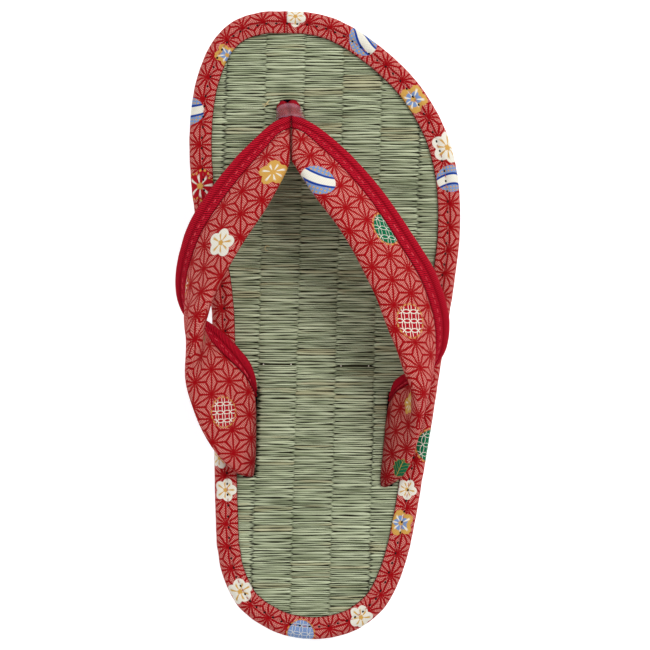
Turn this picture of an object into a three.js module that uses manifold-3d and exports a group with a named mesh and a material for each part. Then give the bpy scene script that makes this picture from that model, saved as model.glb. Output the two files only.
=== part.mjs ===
// A child's zori sandal for the right foot, with a rush mat, a cloth binding and a V strap.
// Millimetres, +Z up, +Y towards the toe, +X towards the outer side of the foot.
// The origin is on the ground, at mid-length on the long axis of the sole.
import * as THREE from "three";
import Module from "manifold-3d";

const wasm = await Module();
wasm.setup();

// Driving dimensions
const GAP = 0.3; // rest gap between pieces that meet
const OUTSOLE_T = 3.0; // thickness of the pale sole sheet
const OUTSOLE_INSET = 1.7; // how far the sole sheet stands in from the binding's edge
const MIDSOLE_INSET_LOW = 1.4; // sponge side, bottom edge
const MIDSOLE_INSET_HIGH = 0.9; // sponge side, top edge
const MAT_T = 3.2; // mat and board together
const MAT_INSET = 1.6; // mat edge inside the binding
const BINDING_W = 6.4; // width of the binding on top of the mat
const UNDER_FLANGE_W = 5.5; // width of the binding under the board
const UNDER_FLANGE_T = 0.8;
const PIPING_W = 4.2; // piping's cord and sewn flange together
const PIPING_R = 1.45; // piping's cord radius
const PIPING_FLANGE_T = 1.1;
const PERIMETER_STATIONS = 96;
const SLAB_ROWS = 40;
const BAND_STEPS = 2; // lofted sections between two rows of the strap tables
const POCKET_DEPTH = 7.0; // depth of the pockets below the mat's top
const SLOT_END = 0.5; // slack at each end of a slot
const SLOT_IN = 0.45; // slack on the foot's side of a strap in its slot
const SLOT_OUT = 1.5; // slack on the outer side, where the strap leans out

// Edge of the sole seen from above, clockwise from the toe tip: [x, y]
const OUTLINE = [
  [-11.5, 95.1], [-4.2, 94.7], [2.1, 93.2], [8.8, 90.1], [17.3, 84.1], [24.2, 78],
  [29.4, 72], [33.3, 65.9], [36.4, 59.8], [38.5, 53.8], [39.9, 47.7], [40.8, 41.1],
  [41.1, 34.4], [40.9, 26.5], [39.9, 17.4], [38.6, 8.3], [37.1, -0.8], [35.5, -9.8],
  [33.6, -22], [31.7, -34.1], [29.6, -46.2], [27.5, -58.3], [25.6, -67.4], [22.8, -76.5],
  [17.9, -85.6], [10.4, -91.7], [3.2, -94.3], [-3.9, -95], [-11.2, -94.1], [-18.1, -91.4],
  [-25.8, -85.6], [-30.7, -76.5], [-32.6, -67.4], [-33.2, -55.3], [-33.5, -43.2],
  [-33.7, -31.1], [-33.9, -18.9], [-34, -6.8], [-34.4, 4.1], [-35.5, 13.8], [-37.3, 22.3],
  [-38.9, 30.1], [-40.2, 38.6], [-41, 47.7], [-41.2, 56.2], [-40.6, 65.9], [-39.2, 73.8],
  [-36.7, 81.1], [-33.2, 87.3], [-27.8, 92.1], [-19.9, 94.8],
];

// Side view of the sole: [y, height of the underside, height of the mat's top]
const SIDE = [
  [-96, 0.4, 17.6], [-86, 0, 17.4], [-60, 0, 16.9], [-20, 0, 15.2], [20, 0, 13.6],
  [50, 0, 13.1], [62, 0.1, 13.2], [75, 0.8, 13.6], [86, 1.9, 14.3], [96, 3.2, 15.3],
];

// Binding section, from the top lip's underside round the board's edge and back over the top:
// [distance in from the edge, height above the mat's top]
const BINDING = [
  [BINDING_W, GAP], [MAT_INSET - GAP, GAP], [MAT_INSET - GAP, -MAT_T - GAP],
  [UNDER_FLANGE_W, -MAT_T - GAP], [UNDER_FLANGE_W, -MAT_T - GAP - UNDER_FLANGE_T],
  [0.9, -MAT_T - GAP - UNDER_FLANGE_T], [0.15, -3.3], [0, -1.8], [0.3, -0.3], [1.1, 0.75],
  [2.3, 1.25], [3.3, 1.05], [3.9, 0.6], [4.5, 0.95], [5.6, 0.95], [6.25, 0.7],
];

// Strap bands from the point of the V back to the slot. The piped edge P is the outer, front
// edge and the folded edge N the inner, rear one. Heights are above the mat's top.
// [P x, P y, P height, N x, N y, N height, thickness]
const INNER_BAND = [
  [-10.2, 62.2, 6.5, -10.2, 49.3, 16, 2.6], [-14.7, 60.6, 8, -11.3, 46.2, 19, 4],
  [-20.4, 56.2, 10.5, -13.9, 41.1, 21.5, 4.8], [-27.1, 49.4, 12.5, -17.8, 34.2, 22.5, 5],
  [-34.1, 40.5, 12.5, -22.2, 27.7, 23.2, 5], [-40.2, 31, 11, -25.7, 22.3, 23.3, 5],
  [-43.3, 22.1, 8, -28.7, 17.3, 22.9, 5], [-44.5, 13.7, 5, -32, 11.7, 22.6, 5.2],
  [-43.6, 7.1, 3.4, -34.6, 5.8, 22.8, 5.6], [-40.5, 3.2, 3, -36.7, -1.3, 23, 6],
  [-35.9, 1.1, 4, -38.5, -8.7, 21.8, 6], [-30.7, -2.6, 6, -40.3, -16.5, 18.5, 5.4],
  [-25.9, -7.1, 7.5, -39.1, -24.9, 14.5, 4.6], [-22.6, -11.3, 7.5, -36, -33.1, 11, 4],
  [-21.4, -14.9, 5.5, -31.3, -40.1, 8, 3.6], [-21.5, -17.4, 2.8, -25.9, -44.8, 4.3, 3.4],
  [-22.1, -18.3, 0.5, -23, -45.9, 0.5, 3.2], [-22.1, -18.3, -6.2, -23, -45.9, -6.2, 3.2],
];
const OUTER_BAND = [
  [-10.2, 62.2, 6.5, -10.2, 49.3, 16, 2.6], [-6, 61, 8, -8.6, 46.8, 19.5, 4],
  [1.2, 56.5, 10, -6.5, 43.7, 22.5, 4.8], [8.7, 49.5, 12, -2.7, 38, 25, 5],
  [16.6, 40.4, 13.2, 3.2, 30.3, 26, 5], [22.4, 32.3, 14, 8, 22.6, 26, 5],
  [28.1, 23.7, 14.2, 12.1, 14.6, 25.4, 5], [32.6, 16.3, 13.8, 15.2, 8.1, 24.6, 5],
  [35.5, 8.8, 12.3, 17.2, 2.8, 23.9, 5], [36.9, 2.5, 10.3, 19.2, -2.2, 23.6, 5.2],
  [36.7, -3.8, 8, 21.6, -7.5, 23.3, 5.6], [35.2, -8.3, 6, 24, -13.5, 22.9, 6],
  [32.3, -11.6, 5, 26.7, -19.4, 21.8, 6], [28.3, -13.4, 5, 27.8, -25.7, 19, 5.2],
  [24.4, -14.6, 5.5, 27.5, -32.4, 14.5, 4.4], [21.7, -16.4, 4.8, 25.8, -39.8, 9.5, 3.8],
  [20.9, -18.6, 2.6, 22.3, -46, 4.6, 3.4], [20.9, -19.8, 0.5, 18.2, -48.9, 0.5, 3.2],
  [20.9, -19.8, -6.2, 18.2, -48.9, -6.2, 3.2],
];

// Padded section of a band from the sewn edge to the fold: [share of width, share of thickness]
const BAND_SECTION = [
  [0, 0.3], [0.1, 0.52], [0.26, 0.84], [0.48, 1], [0.7, 0.98], [0.87, 0.78], [0.965, 0.42],
  [1, 0],
];

// Toe post from the bottom of its pocket to the point of the V: [x, y, height, half width, half depth]
const TOE_POST = [
  [-11.1, 65.8, -6.2, 3.7, 2.4], [-11.1, 65.8, -1.5, 3.9, 2.6], [-11, 65.7, 0.6, 4.1, 2.7],
  [-10.8, 65, 2.2, 3.9, 2.5], [-10.5, 63.7, 3.9, 3.8, 2.4], [-10.3, 61.9, 5.7, 3.7, 2.3],
];
const LOBES = 3; // folds of cloth that show round the front of the toe post
const LOBE_DEPTH = 0.35;
const SLEEVE_SPAN = [3.3, 4.93]; // rows of the toe post that the vinyl sleeve covers
const SLEEVE_T = 0.6;
const TOE_HOLE = [-11.1, 65.9, 4.5, 3.3]; // centre x, y, half width, half depth

const mix = (a, b, t) => a + (b - a) * t;

// Smooth value of a column of SIDE at y. It keeps flat stretches flat and never overshoots a row.
function sideAt(y, column) {
  const last = SIDE.length - 1;
  const clamped = Math.min(Math.max(y, SIDE[0][0]), SIDE[last][0]);
  let i = 0;
  while (i < last - 1 && clamped > SIDE[i + 1][0]) i++;
  const row = (k) => SIDE[Math.min(Math.max(k, 0), last)];
  const chord = (k) => {
    const [a, b] = [row(k), row(k + 1)];
    return b === a ? 0 : (b[column] - a[column]) / (b[0] - a[0]);
  };
  const slope = (k) => {
    if (k <= 0 || k >= last) return chord(k <= 0 ? 0 : last - 1);
    const [a, b] = [chord(k - 1), chord(k)];
    return a * b <= 0 ? 0 : (2 * a * b) / (a + b);
  };
  const [a, b] = [row(i), row(i + 1)];
  const h = b[0] - a[0];
  const t = (clamped - a[0]) / h;
  const t2 = t * t;
  const t3 = t2 * t;
  return (
    (2 * t3 - 3 * t2 + 1) * a[column] + (t3 - 2 * t2 + t) * h * slope(i) +
    (3 * t2 - 2 * t3) * b[column] + (t3 - t2) * h * slope(i + 1)
  );
}
const underside = (y) => sideAt(y, 1);
const matTop = (y) => sideAt(y, 2);

// The sole's edge moved in by a distance, as points clockwise from the toe.
const outlineCurve = new THREE.CatmullRomCurve3(
  OUTLINE.map(([x, y]) => new THREE.Vector3(x, y, 0)), true, "centripetal");
function edge(inset, count = PERIMETER_STATIONS) {
  const points = [];
  for (let i = 0; i < count; i++) {
    const p = outlineCurve.getPointAt(i / count);
    const t = outlineCurve.getTangentAt(i / count);
    points.push(new THREE.Vector2(p.x + t.y * inset, p.y - t.x * inset));
  }
  return points;
}

// Where an inset edge crosses rows of constant y: [left x, right x, y] for each row.
function edgeRows(inset) {
  const loop = edge(inset, 400);
  const ys = loop.map((p) => p.y);
  const [low, high] = [Math.min(...ys) + 0.12, Math.max(...ys) - 0.12];
  const rows = [];
  for (let k = 0; k < SLAB_ROWS; k++) {
    const y = mix(low, high, (1 - Math.cos((Math.PI * k) / (SLAB_ROWS - 1))) / 2);
    const xs = [];
    loop.forEach((a, i) => {
      const b = loop[(i + 1) % loop.length];
      if (a.y <= y !== b.y <= y) xs.push(mix(a.x, b.x, (y - a.y) / (b.y - a.y)));
    });
    rows.push([Math.min(...xs), Math.max(...xs), y]);
  }
  return rows;
}

// A triangle mesh under construction.
class Shell {
  constructor() {
    this.points = [];
    this.faces = [];
  }
  add(x, y, z) {
    this.points.push(x, y, z);
    return this.points.length / 3 - 1;
  }
  quad(a, b, c, d) {
    this.faces.push(a, b, c, a, c, d);
  }
  geometry() {
    const g = new THREE.BufferGeometry();
    g.setAttribute("position", new THREE.Float32BufferAttribute(this.points, 3));
    g.setIndex(this.faces);
    return g;
  }
}

// A layer of the sole between levels from the bottom up: [inset, height as a function of y].
function layer(levels) {
  const shell = new Shell();
  const loops = levels.map(([inset, z]) => {
    const rows = edgeRows(inset);
    const left = rows.map(([xl, , y]) => shell.add(xl, y, z(y)));
    const right = rows.map(([, xr, y]) => shell.add(xr, y, z(y)));
    return { left, right, ring: [...right, ...[...left].reverse()] };
  });
  const [bottom, top] = [loops[0], loops[loops.length - 1]];
  for (let k = 0; k + 1 < SLAB_ROWS; k++) {
    shell.quad(bottom.left[k], bottom.left[k + 1], bottom.right[k + 1], bottom.right[k]);
    shell.quad(top.left[k], top.right[k], top.right[k + 1], top.left[k + 1]);
  }
  for (let l = 0; l + 1 < loops.length; l++) {
    const [a, b] = [loops[l].ring, loops[l + 1].ring];
    for (let i = 0; i < a.length; i++) {
      const j = (i + 1) % a.length;
      shell.quad(a[i], a[j], b[j], b[i]);
    }
  }
  return shell.geometry();
}

// A solid lofted through rings of the same number of points. An open loft gets end caps.
function loft(rings, closed = false) {
  const shell = new Shell();
  const ids = rings.map((ring) => ring.map((p) => shell.add(p.x, p.y, p.z)));
  const spans = closed ? ids.length : ids.length - 1;
  for (let i = 0; i < spans; i++) {
    const [a, b] = [ids[i], ids[(i + 1) % ids.length]];
    for (let j = 0; j < a.length; j++) {
      const k = (j + 1) % a.length;
      shell.quad(a[j], a[k], b[k], b[j]);
    }
  }
  if (!closed) {
    const cap = (ring, ringIds, turn) => {
      const c = ring.reduce((s, p) => s.add(p), new THREE.Vector3()).divideScalar(ring.length);
      const mid = shell.add(c.x, c.y, c.z);
      ringIds.forEach((a, j) => {
        const b = ringIds[(j + 1) % ringIds.length];
        shell.faces.push(mid, ...(turn ? [a, b] : [b, a]));
      });
    };
    cap(rings[0], ids[0], false);
    cap(rings[rings.length - 1], ids[ids.length - 1], true);
  }
  return shell.geometry();
}

// manifold-3d solids from geometries and back, for the cuts.
function solid(g) {
  return new wasm.Manifold(new wasm.Mesh({
    numProp: 3,
    vertProperties: new Float32Array(g.getAttribute("position").array),
    triVerts: new Uint32Array(g.index.array),
  }));
}
function geometryOf(manifold) {
  const m = manifold.getMesh();
  const g = new THREE.BufferGeometry();
  g.setAttribute("position", new THREE.Float32BufferAttribute(m.vertProperties, m.numProp));
  g.setIndex(Array.from(m.triVerts));
  return g;
}
function outward(g) {
  if (solid(g).volume() >= 0) return g;
  const f = g.index.array;
  for (let i = 0; i < f.length; i += 3) [f[i + 1], f[i + 2]] = [f[i + 2], f[i + 1]];
  return g;
}

// A straight vertical prism over a closed loop of points, for cutting.
function prism(loop, z0, z1) {
  return outward(loft([z0, z1].map((z) => loop.map((p) => new THREE.Vector3(p.x, p.y, z)))));
}

// Smooth rows of a strap table: the point of the V first, the bottom of the slot last.
function bandRows(table) {
  const edgeCurve = (i) => new THREE.CatmullRomCurve3(
    table.map((r) => new THREE.Vector3(r[i], r[i + 1], r[i + 2])), false, "centripetal");
  const [pCurve, nCurve] = [edgeCurve(0), edgeCurve(3)];
  const spans = table.length - 1;
  const rows = [];
  for (let k = 0; k <= spans * BAND_STEPS; k++) {
    const u = k / BAND_STEPS;
    const i = Math.min(Math.floor(u), spans - 1);
    const lift = (v) => v.setZ(v.z + matTop(v.y));
    rows.push({
      p: lift(pCurve.getPoint(u / spans)),
      n: lift(nCurve.getPoint(u / spans)),
      thickness: mix(table[i][6], table[i + 1][6], u - i),
    });
  }
  rows.forEach((row, k) => {
    const [a, b] = [rows[Math.max(k - 1, 0)], rows[Math.min(k + 1, rows.length - 1)]];
    const along = b.p.clone().add(b.n).sub(a.p).sub(a.n);
    row.across = row.n.clone().sub(row.p);
    row.width = row.across.length();
    row.across.normalize();
    row.face = new THREE.Vector3().crossVectors(row.across, along).normalize();
  });
  return rows;
}

const innerRows = bandRows(INNER_BAND);
const outerRows = bandRows(OUTER_BAND);
// The show face points up at the front on both bands, and the mitre lies in the plane of the V.
outerRows.forEach((row) => row.face.negate());
for (const rows of [innerRows, outerRows]) {
  const mitre = new THREE.Vector3(1, 0, 0).cross(rows[0].across).normalize();
  rows[0].face = mitre.z < 0 ? mitre.negate() : mitre;
  if (rows[1].face.z < 0) rows.forEach((row, k) => k && row.face.negate());
}

// A ring of points in a row's section plane: [distance from the piped edge, height off the middle].
function sectionRing(row, shape) {
  return shape.map(([s, h]) =>
    row.p.clone().addScaledVector(row.across, s).addScaledVector(row.face, h));
}
function bandRing(row) {
  const start = PIPING_W + GAP;
  const upper = BAND_SECTION.map(([u, t]) =>
    [mix(start, row.width, u), (t * row.thickness) / 2]);
  const lower = upper.slice(0, -1).reverse().map(([s, h]) => [s, -h]);
  return sectionRing(row, [...upper, ...lower]);
}
function pipingRing(row) {
  const flange = PIPING_FLANGE_T / 2;
  const shape = [];
  for (let k = 0; k < 9; k++) {
    const a = (-140 + (280 * k) / 8) * (Math.PI / 180);
    shape.push([PIPING_R - PIPING_R * Math.cos(a), PIPING_R * Math.sin(a)]);
  }
  shape.push([PIPING_W, flange], [PIPING_W, -flange]);
  return sectionRing(row, shape);
}

const strapRows = [...innerRows.slice(1).reverse(), innerRows[0], ...outerRows.slice(1)];
const straps = outward(loft(strapRows.map(bandRing)));
function piping(rows) {
  const side = Math.sign(rows[2].p.x - rows[0].p.x);
  const rings = rows.map(pipingRing);
  rings[0].forEach((p) => { p.x += side * GAP / 2; });
  return outward(loft(rings));
}

// An ellipse lying across the toe post at a row of its table; lobes give the folds of cloth.
function postRing(u, grow, lobes, count = 24) {
  const i = Math.min(Math.floor(u), TOE_POST.length - 2);
  const at = (k) => mix(TOE_POST[i][k], TOE_POST[i + 1][k], u - i);
  const [a, b] = [TOE_POST[Math.max(i - 1, 0)], TOE_POST[Math.min(i + 2, TOE_POST.length - 1)]];
  const axis = new THREE.Vector3(b[0] - a[0], b[1] - a[1], b[2] - a[2]).normalize();
  if (u <= 1) axis.set(0, 0, 1);
  const deep = new THREE.Vector3(0, 1, 0).addScaledVector(axis, -axis.y).normalize();
  const wide = new THREE.Vector3().crossVectors(deep, axis).normalize();
  const centre = new THREE.Vector3(at(0), at(1), matTop(at(1)) + at(2));
  const ring = [];
  for (let k = 0; k < count; k++) {
    const angle = (2 * Math.PI * k) / count;
    const fold = lobes * LOBE_DEPTH * (Math.cos(2 * LOBES * angle + Math.PI) - 1) / 2;
    ring.push(centre.clone()
      .addScaledVector(wide, (at(3) + grow + fold) * Math.cos(angle))
      .addScaledVector(deep, (at(4) + grow + fold) * Math.sin(angle)));
  }
  return ring;
}
const postSteps = [0, 1, 1.5, 2, 2.5, 3, 3.5, 4, 4.5, 5];
const toePost = outward(loft(postSteps.map((u) => postRing(u, 0, 1))));

// The sleeve is a tube: outer rings up, inner rings down, closed on itself.
function sleeve() {
  const us = [0, 1 / 3, 2 / 3, 1].map((t) => mix(...SLEEVE_SPAN, t));
  const outer = us.map((u) => postRing(u, GAP + SLEEVE_T, 0));
  const inner = us.map((u) => postRing(u, GAP, 0)).reverse();
  return outward(loft([...outer, ...inner], true));
}

// Cutters for a strap's slot and for the toe hole.
function slotLoop(table, foot, slack) {
  const row = table[table.length - 1];
  const [p, n] = [new THREE.Vector2(row[0], row[1]), new THREE.Vector2(row[3], row[4])];
  const along = n.clone().sub(p).normalize();
  const out = new THREE.Vector2(-along.y, along.x);
  if (out.x * foot > 0) out.negate();
  const half = row[6] / 2;
  const [high, low] = [half + SLOT_OUT + slack, -half - SLOT_IN - slack];
  const [a, b] = [-SLOT_END - slack, n.distanceTo(p) + SLOT_END + slack];
  const r = 1.2;
  const corners = [[a + r, low + r, 180], [b - r, low + r, 270], [b - r, high - r, 0],
    [a + r, high - r, 90]];
  const loop = [];
  for (const [s, h, start] of corners)
    for (let k = 0; k < 5; k++) {
      const t = ((start + 22.5 * k) * Math.PI) / 180;
      loop.push(p.clone().addScaledVector(along, s + r * Math.cos(t))
        .addScaledVector(out, h + r * Math.sin(t)));
    }
  return loop;
}
function holeLoop(slack) {
  const [x, y, a, b] = TOE_HOLE;
  return Array.from({ length: 28 }, (_, k) => {
    const t = (2 * Math.PI * k) / 28;
    return new THREE.Vector2(x + (a + slack) * Math.cos(t), y + (b + slack) * Math.sin(t));
  });
}
const openings = [
  [(slack) => slotLoop(INNER_BAND, 1, slack), matTop(-31)],
  [(slack) => slotLoop(OUTER_BAND, -1, slack), matTop(-34)],
  [holeLoop, matTop(66)],
];
function cut(g, slack, depth) {
  let body = solid(g);
  for (const [loop, top] of openings)
    body = body.subtract(solid(prism(loop(slack), top - depth, top + 20)));
  return geometryOf(body);
}

const boardUnder = (y) => matTop(y) - MAT_T;
const flangeUnder = (y) => boardUnder(y) - GAP - UNDER_FLANGE_T;
const outsole = outward(layer([
  [OUTSOLE_INSET + 0.5, (y) => underside(y)],
  [OUTSOLE_INSET, (y) => underside(y) + 0.7],
  [OUTSOLE_INSET, (y) => underside(y) + OUTSOLE_T],
]));
const midsole = cut(outward(layer([
  [MIDSOLE_INSET_LOW, (y) => underside(y) + OUTSOLE_T + GAP],
  [MIDSOLE_INSET_HIGH, (y) => flangeUnder(y) - GAP],
  [UNDER_FLANGE_W + GAP, (y) => flangeUnder(y) - GAP],
  [UNDER_FLANGE_W + GAP + 0.1, (y) => boardUnder(y) - GAP],
])), 0, POCKET_DEPTH);
const footbed = cut(outward(layer([
  [MAT_INSET, boardUnder],
  [MAT_INSET, matTop],
])), 0, MAT_T + 3);
const bindingEdges = BINDING.map(([inset]) => edge(inset));
const binding = outward(loft(bindingEdges[0].map((_, i) =>
  BINDING.map(([, h], k) => {
    const p = bindingEdges[k][i];
    return new THREE.Vector3(p.x, p.y, matTop(p.y) + h);
  })), true));

const root = new THREE.Group();
function piece(name, geometry, color, roughness, opacity = 1) {
  const flat = geometry.index ? geometry.toNonIndexed() : geometry;
  flat.computeVertexNormals();
  const material = new THREE.MeshStandardMaterial({ color, roughness, metalness: 0 });
  if (opacity < 1) Object.assign(material, { transparent: true, opacity });
  const mesh = new THREE.Mesh(flat, material);
  mesh.name = name;
  root.add(mesh);
}
piece("outsole", outsole, 0xe9e7e0, 0.7);
piece("midsole", midsole, 0x2d5587, 0.8);
piece("footbed", footbed, 0x868b70, 0.75);
piece("edge_binding", binding, 0xab3838, 0.85);
piece("upper_straps", straps, 0xab3838, 0.85);
piece("piping_inner", piping(innerRows), 0xa5141f, 0.8);
piece("piping_outer", piping(outerRows), 0xa5141f, 0.8);
piece("toe_post", toePost, 0x9b1725, 0.8);
piece("toe_post_sleeve", sleeve(), 0xc98a90, 0.25, 0.5);

export default root;
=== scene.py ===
"""Looks of a child's zori sandal: rush mat, printed cotton binding and straps, twill piping.

Lengths in the tables are millimetres in the part's own frame: +Y to the toe, +X to the outer
side of the right foot, +Z up, with the origin on the ground at mid-length.
"""

import logging
import math
import random
from bisect import bisect_left, bisect_right
from dataclasses import dataclass, field
from enum import Enum
from functools import reduce
from typing import Callable, Sequence

import bmesh
import bpy
from bmesh.types import BMesh, BMFace, BMLayerItem, BMVert
from bpy.types import Material, Node, NodeSocket, Object
from mathutils import Matrix, Vector, noise


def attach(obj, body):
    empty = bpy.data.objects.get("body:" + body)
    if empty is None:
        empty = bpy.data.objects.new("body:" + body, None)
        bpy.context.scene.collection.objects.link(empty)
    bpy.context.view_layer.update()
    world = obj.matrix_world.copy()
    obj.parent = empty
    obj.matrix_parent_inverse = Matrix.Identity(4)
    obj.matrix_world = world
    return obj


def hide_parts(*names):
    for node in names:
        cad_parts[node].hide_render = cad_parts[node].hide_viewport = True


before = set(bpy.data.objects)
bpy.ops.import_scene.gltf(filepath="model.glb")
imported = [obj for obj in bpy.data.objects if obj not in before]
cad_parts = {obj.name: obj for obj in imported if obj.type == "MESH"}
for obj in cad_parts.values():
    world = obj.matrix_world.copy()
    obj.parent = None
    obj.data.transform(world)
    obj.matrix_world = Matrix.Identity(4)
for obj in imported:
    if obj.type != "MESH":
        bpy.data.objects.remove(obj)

Tone = tuple[float, float, float, float]
Loop = list[tuple[float, float]]
Place = Callable[[float, float], Vector]
Amount = Callable[[float, float], float]

log = logging.getLogger("zori")
MM = 0.001
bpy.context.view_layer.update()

# Edge of the sole seen from above, clockwise from the toe tip
OUTLINE = (
    (-11.5, 95.1), (-4.2, 94.7), (2.1, 93.2), (8.8, 90.1), (17.3, 84.1), (24.2, 78),
    (29.4, 72), (33.3, 65.9), (36.4, 59.8), (38.5, 53.8), (39.9, 47.7), (40.8, 41.1),
    (41.1, 34.4), (40.9, 26.5), (39.9, 17.4), (38.6, 8.3), (37.1, -0.8), (35.5, -9.8),
    (33.6, -22), (31.7, -34.1), (29.6, -46.2), (27.5, -58.3), (25.6, -67.4), (22.8, -76.5),
    (17.9, -85.6), (10.4, -91.7), (3.2, -94.3), (-3.9, -95), (-11.2, -94.1), (-18.1, -91.4),
    (-25.8, -85.6), (-30.7, -76.5), (-32.6, -67.4), (-33.2, -55.3), (-33.5, -43.2),
    (-33.7, -31.1), (-33.9, -18.9), (-34, -6.8), (-34.4, 4.1), (-35.5, 13.8), (-37.3, 22.3),
    (-38.9, 30.1), (-40.2, 38.6), (-41, 47.7), (-41.2, 56.2), (-40.6, 65.9), (-39.2, 73.8),
    (-36.7, 81.1), (-33.2, 87.3), (-27.8, 92.1), (-19.9, 94.8),
)
# Side view of the sole: y, height of the mat's top
SIDE = (
    (-96, 17.6), (-86, 17.4), (-60, 16.9), (-20, 15.2), (20, 13.6), (50, 13.1), (62, 13.2),
    (75, 13.6), (86, 14.3), (96, 15.3),
)
# Strap bands from the point of the V back to the slot, heights above the mat's top:
# piped edge x, y, height, folded edge x, y, height, thickness
INNER_BAND = (
    (-10.2, 62.9, 6.5, -10.2, 49.3, 16, 2.6), (-15.1, 60.9, 8, -11.3, 46.2, 19, 4),
    (-20.4, 56.2, 10.5, -13.9, 41.1, 21.5, 4.8), (-27.1, 49.4, 12.5, -17.8, 34.2, 22.5, 5),
    (-34.1, 40.5, 12.5, -22.2, 27.7, 23.2, 5), (-40.2, 31, 11, -25.7, 22.3, 23.3, 5),
    (-43.3, 22.1, 8, -28.7, 17.3, 22.9, 5), (-44.5, 13.7, 5, -32, 11.7, 22.6, 5.2),
    (-43.6, 7.1, 3.4, -34.8, 5.8, 22.8, 5.6), (-41.2, 3.2, 3, -37.6, -1.3, 23, 6),
    (-36.3, 1.1, 4, -39.5, -8.7, 21.8, 6), (-30.7, -2.6, 6, -41.1, -16.5, 18.5, 5.4),
    (-25.9, -7.1, 7.5, -39.4, -24.9, 14.5, 4.6), (-22.6, -11.3, 7.5, -36, -33.1, 11, 4),
    (-21.4, -14.9, 5.5, -31.3, -40.1, 8, 3.6), (-21.5, -17.4, 2.8, -25.9, -44.8, 4.3, 3.4),
    (-22.1, -18.3, 0.5, -23, -45.9, 0.5, 3.2), (-22.1, -18.3, -6.2, -23, -45.9, -6.2, 3.2),
)
OUTER_BAND = (
    (-10.2, 62.9, 6.5, -10.2, 49.3, 16, 2.6), (-5.7, 61.4, 8, -8.6, 46.8, 19.5, 4),
    (1.2, 56.5, 10, -6.5, 43.7, 22.5, 4.8), (8.7, 49.5, 12, -2.7, 38, 25, 5),
    (16.6, 40.4, 13.2, 3.2, 30.3, 26, 5), (22.4, 32.3, 14, 8, 22.6, 26, 5),
    (28.1, 23.7, 14.2, 12.1, 14.6, 25.4, 5), (32.6, 16.3, 13.8, 15.2, 8.1, 24.6, 5),
    (35.5, 8.8, 12.3, 17.2, 2.8, 23.9, 5), (36.9, 2.5, 10.3, 19.2, -2.2, 23.6, 5.2),
    (36.7, -3.8, 8, 21.6, -7.5, 23.3, 5.6), (35.2, -8.3, 6, 24, -13.5, 22.9, 6),
    (32.3, -11.6, 5, 26.7, -19.4, 21.8, 6), (28.3, -13.4, 5, 27.8, -25.7, 19, 5.2),
    (24.4, -14.6, 5.5, 27.5, -32.4, 14.5, 4.4), (21.7, -16.4, 4.8, 25.8, -39.8, 9.5, 3.8),
    (20.9, -18.6, 2.6, 22.3, -46, 4.6, 3.4), (20.9, -19.8, 0.5, 18.2, -48.9, 0.5, 3.2),
    (20.9, -19.8, -6.2, 18.2, -48.9, -6.2, 3.2),
)


def colour(red: float, green: float, blue: float) -> tuple[float, float, float, float]:
    """Gives the shader colour for screen values from 0 to 255."""

    def linear(value: float) -> float:
        """Undoes the screen's curve for one channel."""
        share = value / 255
        return share / 12.92 if share <= 0.04045 else ((share + 0.055) / 1.055) ** 2.4

    return (linear(red), linear(green), linear(blue), 1.0)


def mix(a: float, b: float, t: float) -> float:
    """Gives the value a share t of the way from a to b."""
    return a + (b - a) * t


def ease(low: float, high: float, value: float) -> float:
    """Rises smoothly from 0 at low to 1 at high."""
    t = min(max((value - low) / (high - low), 0.0), 1.0)
    return t * t * (3 - 2 * t)


class SmoothLine:
    """A centripetal curve through given points; whole numbers along it are those points."""

    def __init__(self, points: Sequence[Sequence[float]], closed: bool = False) -> None:
        """Keeps the points.

        Args:
            points: Points of two or three coordinates.
            closed: Whether the last point joins the first.
        """
        self.points = [Vector((*p, 0.0)[:3]) for p in points]
        self.closed = closed

    def at(self, place: float) -> Vector:
        """Gives the point at a place along the line."""
        pts, count = self.points, len(self.points)
        if self.closed:
            i = math.floor(place)
            p0, p1, p2, p3 = (pts[(i + k) % count] for k in (-1, 0, 1, 2))
        else:
            i = min(max(math.floor(place), 0), count - 2)
            p1, p2 = pts[i], pts[i + 1]
            p0 = pts[i - 1] if i else 2 * p1 - p2
            p3 = pts[i + 2] if i + 2 < count else 2 * p2 - p1
        t = place - i
        d0, d1, d2 = (math.sqrt((b - a).length) for a, b in ((p0, p1), (p1, p2), (p2, p3)))
        d1 = d1 if d1 > 1e-4 else 1.0
        d0, d2 = (d if d > 1e-4 else d1 for d in (d0, d2))
        m1 = ((p1 - p0) / d0 - (p2 - p0) / (d0 + d1) + (p2 - p1) / d1) * d1
        m2 = ((p2 - p1) / d1 - (p3 - p1) / (d1 + d2) + (p3 - p2) / d2) * d1
        return (
            p1 + m1 * t + (-3 * p1 + 3 * p2 - 2 * m1 - m2) * t**2
            + (2 * p1 - 2 * p2 + m1 + m2) * t**3
        )


def crossings(loop: Loop, y: float) -> list[float]:
    """Gives the places along x where a closed loop of points crosses a height y."""
    found = []
    for (ax, ay), (bx, by) in zip(loop, [*loop[1:], loop[0]]):
        if (ay <= y) != (by <= y):
            found.append(mix(ax, bx, (y - ay) / (by - ay)))
    return sorted(found)


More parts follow.
